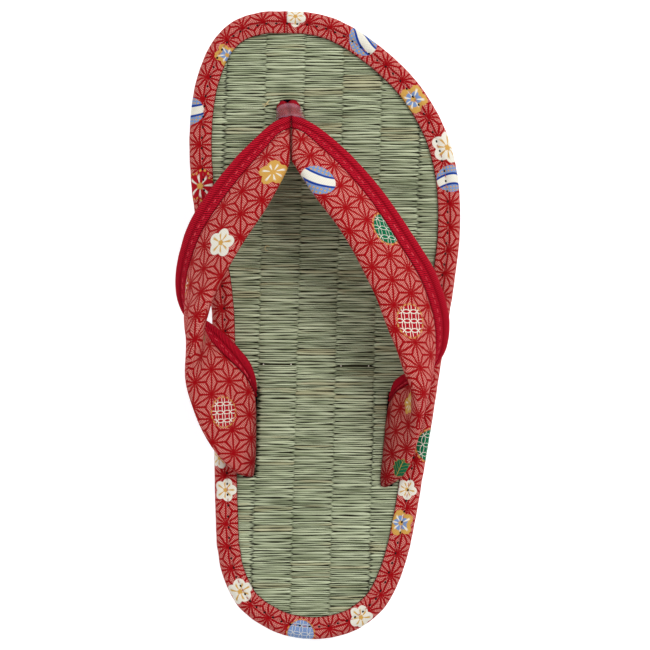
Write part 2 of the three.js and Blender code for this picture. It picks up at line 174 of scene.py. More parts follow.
@dataclass
class SoleForm:
    """The outline and side view that every layer of the sole follows."""

    outline: tuple = OUTLINE
    side: tuple = SIDE
    fine: int = 1020
    top_steps: int = 800
    places: list[float] = field(default_factory=lambda: [0.0])

    def __post_init__(self) -> None:
        """Measures the rim and the side view, so that both can be walked in even steps."""
        self.line = SmoothLine(self.outline, closed=True)
        count = len(self.outline)
        pts = [self.line.at(count * i / self.fine) for i in range(self.fine + 1)]
        for a, b in zip(pts, pts[1:]):
            self.places.append(self.places[-1] + (b - a).length)
        self.girth = self.places[-1]
        self.low, self.high = self.side[0][0], self.side[-1][0]
        self.tops = [self.height(mix(self.low, self.high, k / self.top_steps))
                     for k in range(self.top_steps + 1)]

    def rim(self, along: float) -> tuple[Vector, Vector]:
        """Gives the rim's point and its inward direction at a length along it."""
        along %= self.girth
        i = min(bisect_right(self.places, along) - 1, self.fine - 1)
        t = (along - self.places[i]) / (self.places[i + 1] - self.places[i])
        u = len(self.outline) * (i + t) / self.fine
        ahead = (self.line.at(u + 0.02) - self.line.at(u - 0.02)).normalized()
        return self.line.at(u), Vector((ahead.y, -ahead.x, 0))

    def loop(self, inset: float, count: int = 400) -> Loop:
        """Gives the rim moved in by a distance."""
        found = []
        for i in range(count):
            point, inward = self.rim(self.girth * i / count)
            found.append(tuple((point + inward * inset).xy))
        return found

    def height(self, y: float) -> float:
        """Works out the height of the mat's top at y, without overshoot."""
        rows, last = self.side, len(self.side) - 1
        i = 0
        while i < last - 1 and y > rows[i + 1][0]:
            i += 1

        def chord(k: int) -> float:
            """Slope of one stretch of the side view."""
            (y0, z0), (y1, z1) = rows[k], rows[k + 1]
            return (z1 - z0) / (y1 - y0)

        def slope(k: int) -> float:
            """Slope at one row, flat where the stretches disagree."""
            if k in (0, last):
                return chord(0 if k == 0 else last - 1)
            a, b = chord(k - 1), chord(k)
            return 0.0 if a * b <= 0 else 2 * a * b / (a + b)

        (y0, z0), (y1, z1) = rows[i], rows[i + 1]
        h = y1 - y0
        t = (y - y0) / h
        return (
            (2 * t**3 - 3 * t**2 + 1) * z0 + (t**3 - 2 * t**2 + t) * h * slope(i)
            + (3 * t**2 - 2 * t**3) * z1 + (t**3 - t**2) * h * slope(i + 1)
        )

    def top(self, y: float) -> float:
        """Gives the height of the mat's top at y, read between the even steps."""
        share = (y - self.low) / (self.high - self.low)
        place = min(max(share, 0.0), 0.99999) * self.top_steps
        k = int(place)
        return mix(self.tops[k], self.tops[k + 1], place - k)


FORM = SoleForm()


def finished(name: str, bm: BMesh, material: Material,
             smooth: bool = True) -> Object:
    """Makes an object of a bmesh drawn in millimetres, riding on the one body.

    Args:
        name: The piece's name.
        bm: The mesh, which is freed.
        material: Its finish.
        smooth: Whether its faces are shaded smooth.

    Returns:
        The new object, at the origin.
    """
    bmesh.ops.scale(bm, vec=(MM, MM, MM), verts=bm.verts)
    for face in bm.faces:
        face.smooth = smooth
    mesh = bpy.data.meshes.new(name)
    bm.to_mesh(mesh)
    bm.free()
    piece = bpy.data.objects.new(name, mesh)
    bpy.context.scene.collection.objects.link(piece)
    mesh.materials.append(material)
    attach(piece, "root")
    return piece


def solid_copy(node: str) -> BMesh:
    """Gives a welded copy of one of the part's solids, in millimetres."""
    bm = bmesh.new()
    bm.from_mesh(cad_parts[node].data)
    bmesh.ops.scale(bm, vec=(1 / MM, 1 / MM, 1 / MM), verts=bm.verts)
    bmesh.ops.remove_doubles(bm, verts=bm.verts, dist=0.01)
    return bm


def vertex_layer(bm: BMesh, name: str) -> BMLayerItem:
    """Gives a mesh's store of one number per vertex, new if there is none."""
    return bm.verts.layers.float.get(name) or bm.verts.layers.float.new(name)


def drape(bm: BMesh, columns: int, rows: int, place: Place,
          flat: Place | None = None, shade: Amount | None = None) -> list[BMVert]:
    """Lays a grid over a surface.

    Args:
        bm: The mesh that gets it.
        columns: Steps across.
        rows: Steps along.
        place: The surface's point for shares across and along.
        flat: The cloth's flat place in millimetres for the same shares, kept as a UV map.
        shade: How deep in a seam or fold the surface lies there, from 0 to 1, kept for painted
            shade.

    Returns:
        The new vertices.
    """
    layer = flat and bm.loops.layers.uv.new("cloth")
    depths = shade and vertex_layer(bm, "shade")
    made = bmesh.ops.create_grid(bm, x_segments=columns, y_segments=rows, size=0.5)["verts"]
    shares = {v: (v.co.x + 0.5, v.co.y + 0.5) for v in made}
    if flat:
        known = {v: flat(*s).xy for v, s in shares.items()}
        for face in {f for v in made for f in v.link_faces}:
            for corner in face.loops:
                corner[layer].uv = known[corner.vert]
    for v, s in shares.items():
        if shade:
            v[depths] = shade(*s)
        v.co = place(*s)
    return made


def close(bm: BMesh, reach: float = 1e-3) -> None:
    """Welds a wrapped grid's seam, fills its open ends and turns its faces out."""
    bmesh.ops.remove_doubles(bm, verts=bm.verts, dist=reach)
    rims = [e for e in bm.edges if e.is_boundary]
    if rims:
        bmesh.ops.holes_fill(bm, edges=rims, sides=0)
    bmesh.ops.recalc_face_normals(bm, faces=bm.faces)


def wrapped(columns: int, rows: int, place: Place, flat: Place | None,
            shade: Amount) -> BMesh:
    """Drapes a new mesh round a closed surface, with the arguments of drape."""
    bm = bmesh.new()
    drape(bm, columns, rows, place, flat, shade)
    close(bm)
    return bm


def bead(bm: BMesh, at: Vector, axes: Sequence[Vector], size: Sequence[float],
         around: int = 6, up: int = 4) -> None:
    """Adds a small stretched ball, the visible part of a stitch or thread.

    Args:
        bm: The mesh that gets it.
        at: Its middle.
        axes: Its three directions.
        size: Half its length along each.
        around: Faces round it.
        up: Faces from pole to pole.
    """
    made = bmesh.ops.create_uvsphere(bm, u_segments=around, v_segments=up, radius=1)["verts"]
    turn = Matrix(axes).transposed().to_4x4()
    bmesh.ops.transform(bm, verts=made,
                        matrix=Matrix.Translation(at) @ turn @ Matrix.Diagonal((*size, 1)))


class Shade:
    """A shader value that adds, multiplies and compares like a number."""

    def __init__(self, tree: bpy.types.NodeTree, out: NodeSocket) -> None:
        """Keeps the socket that holds the value."""
        self.tree, self.out = tree, out

    def op(self, name: str, *others: "Shade | float", swap: bool = False) -> "Shade":
        """Joins this value and others in one Math node.

        Args:
            name: Blender's name for the operation.
            others: Values or numbers.
            swap: Whether this value comes second.

        Returns:
            The result.
        """
        node = self.tree.nodes.new("ShaderNodeMath")
        node.operation = name
        values = [self, *others]
        if swap:
            values[0], values[1] = values[1], values[0]
        for socket, value in zip(node.inputs, values):
            if isinstance(value, Shade):
                self.tree.links.new(value.out, socket)
            else:
                socket.default_value = value
        return Shade(self.tree, node.outputs[0])

    def __add__(self, other: "Shade | float") -> "Shade":
        """Sum."""
        return self.op("ADD", other)

    def __sub__(self, other: "Shade | float") -> "Shade":
        """Difference."""
        return self.op("SUBTRACT", other)

    def __rsub__(self, other: float) -> "Shade":
        """Difference from a number."""
        return self.op("SUBTRACT", other, swap=True)

    def __mul__(self, other: "Shade | float") -> "Shade":
        """Product."""
        return self.op("MULTIPLY", other)

    def __truediv__(self, other: "Shade | float") -> "Shade":
        """Quotient."""
        return self.op("DIVIDE", other)

    def fract(self) -> "Shade":
        """Part after the decimal point."""
        return self.op("FRACT")

    def size(self) -> "Shade":
        """Value without its sign."""
        return self.op("ABSOLUTE")

    def low(self, other: "Shade | float") -> "Shade":
        """Smaller of two."""
        return self.op("MINIMUM", other)

    def high(self, other: "Shade | float") -> "Shade":
        """Larger of two."""
        return self.op("MAXIMUM", other)

    def fade(self, start: float, end: float) -> "Shade":
        """Falls smoothly from 1 at start to 0 at end, or rises where end is the smaller."""
        node = self.tree.nodes.new("ShaderNodeMapRange")
        node.interpolation_type = "SMOOTHSTEP"
        self.tree.links.new(self.out, node.inputs["Value"])
        low, high = min(start, end), max(start, end)
        node.inputs["From Min"].default_value = low
        node.inputs["From Max"].default_value = high
        node.inputs["To Min"].default_value = 1.0 if start < end else 0.0
        node.inputs["To Max"].default_value = 0.0 if start < end else 1.0
        return Shade(self.tree, node.outputs["Result"])


class Recipe:
    """The nodes of one finish."""

    def __init__(self, name: str, roughness: float, **shader: float | Tone) -> None:
        """Starts a material with a Principled shader.

        Args:
            name: The material's name.
            roughness: The surface's roughness.
            shader: Other inputs of the shader that are the same everywhere.
        """
        self.material = bpy.data.materials.new(name)
        self.material.use_nodes = True
        self.tree = self.material.node_tree
        self.shader = self.tree.nodes["Principled BSDF"]
        self.shader.inputs["Roughness"].default_value = roughness
        for key, value in shader.items():
            self.shader.inputs[key.replace("_", " ")].default_value = value

    def node(self, kind: str, **settings: object) -> Node:
        """Adds a node and sets its properties."""
        node = self.tree.nodes.new("ShaderNode" + kind)
        for key, value in settings.items():
            setattr(node, key, value)
        return node

    def link(self, value: "Shade | NodeSocket", socket: NodeSocket) -> None:
        """Joins a value to an input."""
        self.tree.links.new(value.out if isinstance(value, Shade) else value, socket)

    def flat(self, layer: str) -> tuple[Shade, Shade, NodeSocket]:
        """Gives a UV map's two coordinates, and both as a vector."""
        source = self.node("UVMap", uv_map=layer).outputs["UV"]
        parts = self.node("SeparateXYZ")
        self.link(source, parts.inputs[0])
        return Shade(self.tree, parts.outputs[0]), Shade(self.tree, parts.outputs[1]), source

    def place(self, scale: Sequence[float] = (1000, 1000, 1000)) -> NodeSocket:
        """Gives the place on the piece, in millimetres unless another scale is asked for."""
        mapping = self.node("Mapping")
        mapping.inputs["Scale"].default_value = scale
        self.link(self.node("TexCoord").outputs["Object"], mapping.inputs["Vector"])
        return mapping.outputs["Vector"]

    def attribute(self, name: str) -> Shade:
        """Gives a number stored on the mesh."""
        return Shade(self.tree, self.node("Attribute", attribute_name=name).outputs["Fac"])

    def clouds(self, place: NodeSocket, scale: float, detail: float = 2.0,
               rough: float = 0.5) -> Shade:
        """Gives a soft noise."""
        node = self.node("TexNoise")
        self.link(place, node.inputs["Vector"])
        node.inputs["Scale"].default_value = scale
        node.inputs["Detail"].default_value = detail
        node.inputs["Roughness"].default_value = rough
        return Shade(self.tree, node.outputs["Fac"])

    def blend(self, share: Shade, a: "Tone | NodeSocket",
              b: "Tone | NodeSocket", kind: str = "MIX") -> NodeSocket:
        """Mixes two colours by a varying share."""
        node = self.node("Mix", data_type="RGBA", blend_type=kind)
        self.link(share, node.inputs[0])
        for socket, value in ((node.inputs[6], a), (node.inputs[7], b)):
            if isinstance(value, tuple):
                socket.default_value = value
            else:
                self.link(value, socket)
        return node.outputs[2]

    def paint(self, tone: NodeSocket) -> None:
        """Puts a varying colour on the surface."""
        self.link(tone, self.shader.inputs["Base Color"])

    def relief(self, height: Shade, depth: float, strength: float = 1.0) -> None:
        """Raises the surface by a height from 0 to 1.

        Args:
            height: The varying height.
            depth: What 1 stands for, in millimetres.
            strength: How strongly it shows.
        """
        node = self.node("Bump")
        node.inputs["Strength"].default_value = strength
        node.inputs["Distance"].default_value = depth * MM
        self.link(height, node.inputs["Height"])
        self.link(node.outputs["Normal"], self.shader.inputs["Normal"])


class Motif(Enum):
    """The small printed figures on the cotton."""

    NONE = 0
    GREEN_BALL = 1
    RED_BALL = 2
    BLUE_BALL = 3
    BANDED_BALL = 4
    GOLD_BLOSSOM = 5
    BLUE_BLOSSOM = 6
    RED_BLOSSOM = 7
    WHITE_BLOSSOM = 8
    LEAF = 9


@dataclass(frozen=True)
class PrintedCotton:
    """Cotton printed with a hemp-leaf lattice of red lines and small traditional motifs."""

    star: float = 7.2
    thread: float = 0.74
    ball: float = 4.9
    ball_dots: float = 17.0
    ring_pitch: float = 2.9
    banded_ball: tuple[float, float] = (5.6, 4.9)
    speck_pitch: float = 1.2
    petals: float = 5.0
    petal_root: float = 2.9
    petal_swell: float = 1.1
    leaf: tuple[float, float] = (2.6, 3.3)
    vein_pitch: float = 1.3
    # the ground is painted lighter on the thread tops as a highlight, darker between them as
    # shade, with random mottle
    ground: Tone = colour(222, 138, 128)
    ground_shaded_and_mottled: Tone = colour(150, 38, 38)
    line: Tone = colour(144, 0, 8)
    line_worn: Tone = colour(172, 10, 22)
    # seam: the colour of painted shade in seams, creases and folds, and a little between threads
    seam: Tone = colour(60, 4, 8)
    white: Tone = colour(232, 228, 214)
    gold: Tone = colour(208, 160, 80)
    green: Tone = colour(10, 102, 66)
    red: Tone = colour(172, 14, 30)
    pale_blue: Tone = colour(122, 148, 194)
    blue: Tone = colour(22, 62, 146)

    def lattice(self, x: Shade, y: Shade) -> tuple[Shade, Shade]:
        """Gives the distance to the nearest line, and how near a star's centre is."""
        tall = self.star * math.sqrt(3) / 2
        a, b = x / tall, y / self.star
        half = a * 0.5
        parts = [a.fract(), (b - half).fract(), (0.0 - (b + half)).fract()]
        flip = (parts[0] + parts[1] + parts[2]).op("GREATER_THAN", 1.5)
        parts = [(part - flip).size() for part in parts]
        least = parts[0].low(parts[1]).low(parts[2])
        most = parts[0].high(parts[1]).high(parts[2])
        middle = 1.0 - (least + most)
        return (least * tall).low((middle - least) * (self.star / 2)), most

    def figures(self, r: Recipe, base: NodeSocket) -> NodeSocket:
        """Prints the motifs over a colour.

        Args:
            r: The recipe that gets the nodes.
            base: The colour under them.

        Returns:
            The colour with the motifs on it.
        """
        mx, my, _ = r.flat("motif")
        kind = r.flat("kind")[0]

        def of_kind(*kinds: Motif) -> Shade:
            """Is 1 where one of the kinds is printed."""
            return reduce(Shade.high, [kind.op("COMPARE", k.value, 0.3) for k in kinds])

        def length(x: Shade, y: Shade) -> Shade:
            """Distance from the middle."""
            return (x * x + y * y).op("SQRT")

        angle = my.op("ARCTAN2", mx)
        tone = base
        # balls with a lattice of lens shapes and a rim of gold dots
        ball = of_kind(Motif.GREEN_BALL, Motif.RED_BALL, Motif.BLUE_BALL)
        out = length(mx / self.ball, my / self.ball)
        cx, cy = (((c / self.ring_pitch).fract() - 0.5).size() for c in (mx, my))
        reach = math.sqrt(0.5)
        arcs = (length(cx - 1.0, cy) - reach).size().low((length(cx, cy - 1.0) - reach).size())
        lens = (arcs - of_kind(Motif.RED_BALL) * 0.02).fade(0.036, 0.014)
        hue = r.blend(of_kind(Motif.RED_BALL), self.green, self.red)
        hue = r.blend(of_kind(Motif.BLUE_BALL), hue, self.pale_blue)
        inside = r.blend(lens, self.white, hue)
        tone = r.blend(ball * out.fade(0.97, 1.03), tone, inside)
        dots = (angle * self.ball_dots).op("SINE").fade(0.3, -0.3) * 0.75 + 0.15
        tone = r.blend(ball * (out - 1.07).size().fade(0.02, 0.07) * dots, tone, self.gold)
        # white balls with blue bands and dotted caps
        banded = of_kind(Motif.BANDED_BALL)
        out = length(mx / self.banded_ball[0], my / self.banded_ball[1])
        arch = (my - mx * mx * 0.05).size()
        specks = [(c / self.speck_pitch).fract() - 0.5 for c in (mx, my)]
        specks = length(*specks).fade(0.2, 0.34)
        cap = r.blend(specks, self.pale_blue, self.gold)
        body = r.blend(arch.fade(2.35, 2.15), self.white, cap)
        body = r.blend((arch - 1.85).size().fade(0.32, 0.5), body, self.blue)
        tone = r.blend(banded * out.fade(0.96, 1.03), tone, body)
        # five-petalled blossoms with a gold edge
        blossom = of_kind(Motif.GOLD_BLOSSOM, Motif.BLUE_BLOSSOM, Motif.RED_BLOSSOM,
                          Motif.WHITE_BLOSSOM)
        reach = length(mx, my)
        petal = (angle * (self.petals / 2)).op("COSINE").size() * self.petal_swell
        share = reach / (petal + self.petal_root)
        hue = r.blend(of_kind(Motif.BLUE_BLOSSOM) * share.fade(0.54, 0.62), self.gold,
                      self.pale_blue)
        hue = r.blend(of_kind(Motif.RED_BLOSSOM), hue, self.red)
        hue = r.blend(of_kind(Motif.WHITE_BLOSSOM), hue, self.white)
        heart = r.blend(of_kind(Motif.WHITE_BLOSSOM), self.white, self.gold)
        rays = (angle * (self.petals * 1.5)).op("COSINE").fade(0.9, 0.3) * share.fade(0.62, 0.86)
        hue = r.blend(rays * share.fade(0.3, 0.15), hue, heart)
        hue = r.blend(share.fade(0.16, 0.26), hue, self.gold)
        tone = r.blend(blossom * share.fade(0.97, 1.03), tone, hue)
        edge = (share - 0.97).size().fade(0.04, 0.09)
        edge = edge * (1.0 - of_kind(Motif.WHITE_BLOSSOM))
        tone = r.blend(blossom * edge * (angle * 22.0).op("SINE").fade(0.3, -0.3), tone, self.gold)
        # leaves with gold veins
        leaf = of_kind(Motif.LEAF)
        half_wide, half_long = self.leaf
        wide = (1.0 - (my / half_long) * (my / half_long)) * half_wide
        inset = wide + (my * 4.2).op("SINE") * 0.25 - mx.size()
        veins = ((my - mx.size() * 0.8) / self.vein_pitch).fract()
        veins = (veins - 0.5).size().fade(0.01, 0.05).high(mx.size().fade(0.04, 0.12))
        body = r.blend(veins.high(inset.fade(0.1, 0.22)), self.green, self.gold)
        return r.blend(leaf * inset.fade(0.08, -0.02), tone, body)

    def material(self) -> Material:
        """Makes the finish."""
        r = Recipe("printed_cotton", 0.95, Specular_IOR_Level=0.1)
        x, y, flat = r.flat("cloth")
        drift = r.clouds(flat, 0.45, 2.0)
        wander = r.clouds(flat, 1.3, 1.0)
        distance, near = self.lattice(x + (drift - 0.5) * 0.6, y + (wander - 0.5) * 0.4)
        bleed = (r.clouds(flat, 2.4, 1.0) - 0.5) * 0.24 + near.fade(0.97, 0.7) * 0.13
        ink = (distance + bleed).fade(0.22, 0.41)
        turn = 2 * math.pi / self.thread
        warp, weft = (x * turn).op("SINE"), (y * turn).op("SINE")
        weave = warp * weft * 0.5 + 0.5
        speckle = r.clouds(flat, 2.1, 3.0, 0.7)
        # painted highlight on the thread tops and painted shade between them, with random mottle
        weave_shade_and_mottle = (weave * 0.9 + speckle * 0.6 - 0.2).fade(0.8, 0.32)
        ground = r.blend(weave_shade_and_mottle, self.ground, self.ground_shaded_and_mottled)
        ink_tone = r.blend((weave * 0.4 + speckle).fade(0.5, 1.0), self.line_worn, self.line)
        tone = self.figures(r, r.blend(ink, ground, ink_tone))
        # a little painted shade between the threads, with the mottle, over print and all
        tone = r.blend(weave_shade_and_mottle * 0.12, tone, self.seam)
        # painted shade in the seam by the piping, the V mitre, the slots and the binding's valley
        # and edge
        r.paint(r.blend(r.attribute("shade") * 0.8, tone, self.seam))
        r.relief(weave * 0.7 + speckle * 0.6, 0.09, 0.55)
        return r.material


@dataclass(frozen=True)
class RedTwill:
    """Plain red cotton twill with steep diagonal ribs, lit and shaded in painted tones."""

    rib: float = 0.66
    thread: float = 0.5
    # painted highlight and painted shade of the ribs; seam: painted shade of grooves and folds
    twill_highlight: Tone = colour(206, 26, 48)
    valley: Tone = colour(112, 0, 18)
    seam: Tone = colour(44, 0, 6)

    def material(self) -> Material:
        """Makes the finish."""
        r = Recipe("red_twill", 0.9, Specular_IOR_Level=0.06)
        x, y, flat = r.flat("cloth")
        ribs = ((x * 0.9 + y) * (2 * math.pi / self.rib)).op("SINE") * 0.5 + 0.5
        threads = ((y - x * 0.7) * (2 * math.pi / self.thread)).op("SINE") * 0.5 + 0.5
        fuzz = r.clouds(flat, 2.6, 3.0, 0.6)
        height = ribs * 0.7 + threads * 0.3
        # painted highlight and painted shade across the ribs
        tone = r.blend((height * 0.8 + fuzz * 0.4).fade(0.35, 0.9), self.valley, self.twill_highlight)
        # painted shade in grooves, at the flange's edge, in the V mitre and between the post's
        # folds
        r.paint(r.blend(r.attribute("shade") * 0.85, tone, self.seam))
        r.relief(height * 0.8 + fuzz * 0.3, 0.22, 1.0)
        return r.material


@dataclass(frozen=True)
class RushStems:
    """Dried rush: pale green stems, some tan, with painted shade where they dip into the weave."""

    pale: Tone = colour(206, 214, 180)
    green: Tone = colour(136, 145, 112)
    tan: Tone = colour(186, 176, 136)
    dull: Tone = colour(110, 116, 86)
    # shade: painted shade where the stems dip below the mat's top
    shade: Tone = colour(28, 28, 11)

    def material(self) -> Material:
        """Makes the finish."""
        r = Recipe("rush_mat", 0.55, Specular_IOR_Level=0.35, Coat_Weight=0.05,
                   Coat_Roughness=0.4)
        streaks = r.clouds(r.place((60, 1500, 0)), 1.0, 2.0, 0.6)
        patches = r.clouds(r.place((55, 300, 300)), 1.0, 2.0)
        tone, depth = r.attribute("tone"), r.attribute("depth")
        body = r.blend(streaks.fade(0.66, 0.36), self.pale, self.green)
        ripe = (tone + (patches - 0.5) * 0.9).fade(1.06, 0.86)
        body = r.blend(ripe * 0.55, body, self.tan)
        dim = (tone * 3.7).fract()
        body = r.blend(dim * 0.3, body, self.dull)
        # painted shade where the stems dip into the weave
        body = r.blend(depth.fade(1.0, 0.25), body, self.shade)
        r.paint(body)
        r.relief(streaks, 0.16, 0.7)
        return r.material


@dataclass(frozen=True)
class PlainFinish:
    """A finish of one tone, clouded, with pores or grain in relief."""

    name: str
    tone: Tone
    deep: Tone
    roughness: float
    grain: float
    relief: float
    broad_grain: float = 0.06

    def material(self) -> Material:
        """Makes the finish."""
        r = Recipe(self.name, self.roughness, Specular_IOR_Level=0.3)
        place = r.place()
        fine = r.clouds(place, self.grain, 3.0, 0.65)
        broad = r.clouds(place, self.broad_grain, 2.0)
        r.paint(r.blend((fine * 0.7 + broad * 0.4).fade(0.8, 0.3), self.tone, self.deep))
        r.relief(fine, self.relief, 0.6)
        return r.material


PLAIN = (
    PlainFinish("piping_thread", colour(222, 66, 80), colour(170, 24, 40), 0.8, 3.0, 0.05),
    PlainFinish("pale_thread", colour(232, 206, 184), colour(196, 160, 140), 0.85, 3.0, 0.05),
    PlainFinish("warp_thread", colour(246, 242, 232), colour(216, 206, 190), 0.85, 3.0, 0.05),
    PlainFinish("rush_fibre", colour(226, 210, 158), colour(186, 164, 110), 0.7, 2.0, 0.02),
    PlainFinish("binding_thread_pink", colour(216, 128, 118), colour(150, 60, 58), 0.85, 3.0,
                0.05),
    # needle holes: dark beads of painted shade
    PlainFinish("needle_hole_shade", colour(30, 14, 12), colour(20, 8, 8), 0.95, 2.0, 0.02),
    # the board is real but dark to stand for shade in the gaps between the rush bundles
    PlainFinish("board_core_painted_shade", colour(60, 58, 36), colour(38, 36, 22), 0.9, 0.8, 0.1),
    PlainFinish("sponge", colour(48, 88, 140), colour(34, 66, 112), 0.85, 2.2, 0.12),
    PlainFinish("sole_sheet", colour(232, 230, 222), colour(214, 211, 202), 0.75, 1.4, 0.1),
    PlainFinish("floor_paper", colour(246, 246, 246), colour(240, 240, 240), 0.9, 0.05, 0.0),
)


@dataclass(frozen=True)
class ClearVinyl:
    """Thin clear vinyl, slightly milky, with a wet gloss."""

    tone: Tone = colour(190, 118, 120)
    deep: Tone = colour(150, 84, 88)
    # lip: painted highlight on the sleeve's cut lips
    lip_highlight: Tone = colour(206, 170, 206)
    cover: float = 0.32

    def material(self) -> Material:
        """Makes the finish."""
        r = Recipe("clear_vinyl", 0.3, Alpha=self.cover, Specular_IOR_Level=0.25, Coat_Weight=0.2,
                   Coat_Roughness=0.2)
        haze = r.clouds(r.place(), 0.5, 2.0)
        body = r.blend(haze.fade(0.65, 0.35), self.tone, self.deep)
        # painted highlight on the cut lips, from the mesh's shade number
        r.paint(r.blend(r.attribute("shade"), body, self.lip_highlight))
        r.relief(haze, 0.12, 0.4)
        r.material.surface_render_method = "BLENDED"
        return r.material


@dataclass(frozen=True)
class Spot:
    """One printed motif, placed by where it lies seen from above."""

    kind: Motif
    x: float
    y: float
    turn: float = 0.0
    scale: float = 1.0
    wide: float = 1.0


# How motifs are charted: a place with no motif, how far one reaches on the cloth, how far a face
# looks up to be seen from above, how far two faces may turn apart and still be on one side, and
# what puts the motifs of the other side behind all others
UNPRINTED = (50.0, 50.0)
MOTIF_REACH = 9.0
SEEN = 0.15
ONE_SIDE = -0.3
OTHER_SIDE = 900.0


def cloth_middle(face: BMFace, cloth: BMLayerItem) -> Vector:
    """Gives the middle of a face on the flat cloth."""
    return sum((c[cloth].uv for c in face.loops), Vector((0, 0))) / len(face.loops)


def print_motifs(bm: BMesh, spots: Sequence[Spot]) -> None:
    """Charts the motifs on a draped mesh.

    Each spot is found on the faces that look up, and every face then stores its corners'
    places measured from the nearest motif's middle.

    Args:
        bm: A mesh with the cloth UV map.
        spots: The motifs.
    """
    for name in ("motif", "kind"):
        bm.loops.layers.uv.new(name)
    cloth, motif, kind = (bm.loops.layers.uv[n] for n in ("cloth", "motif", "kind"))
    bm.normal_update()
    up = [f for f in bm.faces if f.normal.z > SEEN and len(f.verts) == 4]
    middles = [(f.calc_center_median(), f) for f in up]
    charted = []
    for spot in spots:
        def apart(item: tuple[Vector, BMFace]) -> float:
            """Distance from the spot seen from above, with a little weight to higher faces."""
            return math.hypot(item[0].x - spot.x, item[0].y - spot.y) - item[0].z * 0.02

        face = min(middles, key=apart)[1]
        charted.append((spot, cloth_middle(face, cloth), face.normal.copy()))
    for face in bm.faces:
        middle = cloth_middle(face, cloth)
        spot, centre, facing = min(charted, key=lambda s: (
            (s[1] - middle).length_squared - OTHER_SIDE * (s[2].dot(face.normal) > ONE_SIDE)))
        near = ((centre - middle).length < MOTIF_REACH and len(face.verts) == 4
                and facing.dot(face.normal) > ONE_SIDE)
        turn = Matrix.Rotation(-math.radians(spot.turn), 2)
        for corner in face.loops:
            local = turn @ (corner[cloth].uv - centre) / spot.scale
            local.x /= spot.wide
            corner[motif].uv = local if near else UNPRINTED
            corner[kind].uv = (float((spot.kind if near else Motif.NONE).value), 0.0)


@dataclass
class BandRow:
    """One section across a strap."""

    p: Vector
    n: Vector
    thickness: float
    along: float = 0.0
    across: Vector = field(default_factory=Vector)
    face: Vector = field(default_factory=Vector)
    width: float = 0.0
    flat_p: Vector = field(default_factory=Vector)
    flat_n: Vector = field(default_factory=Vector)


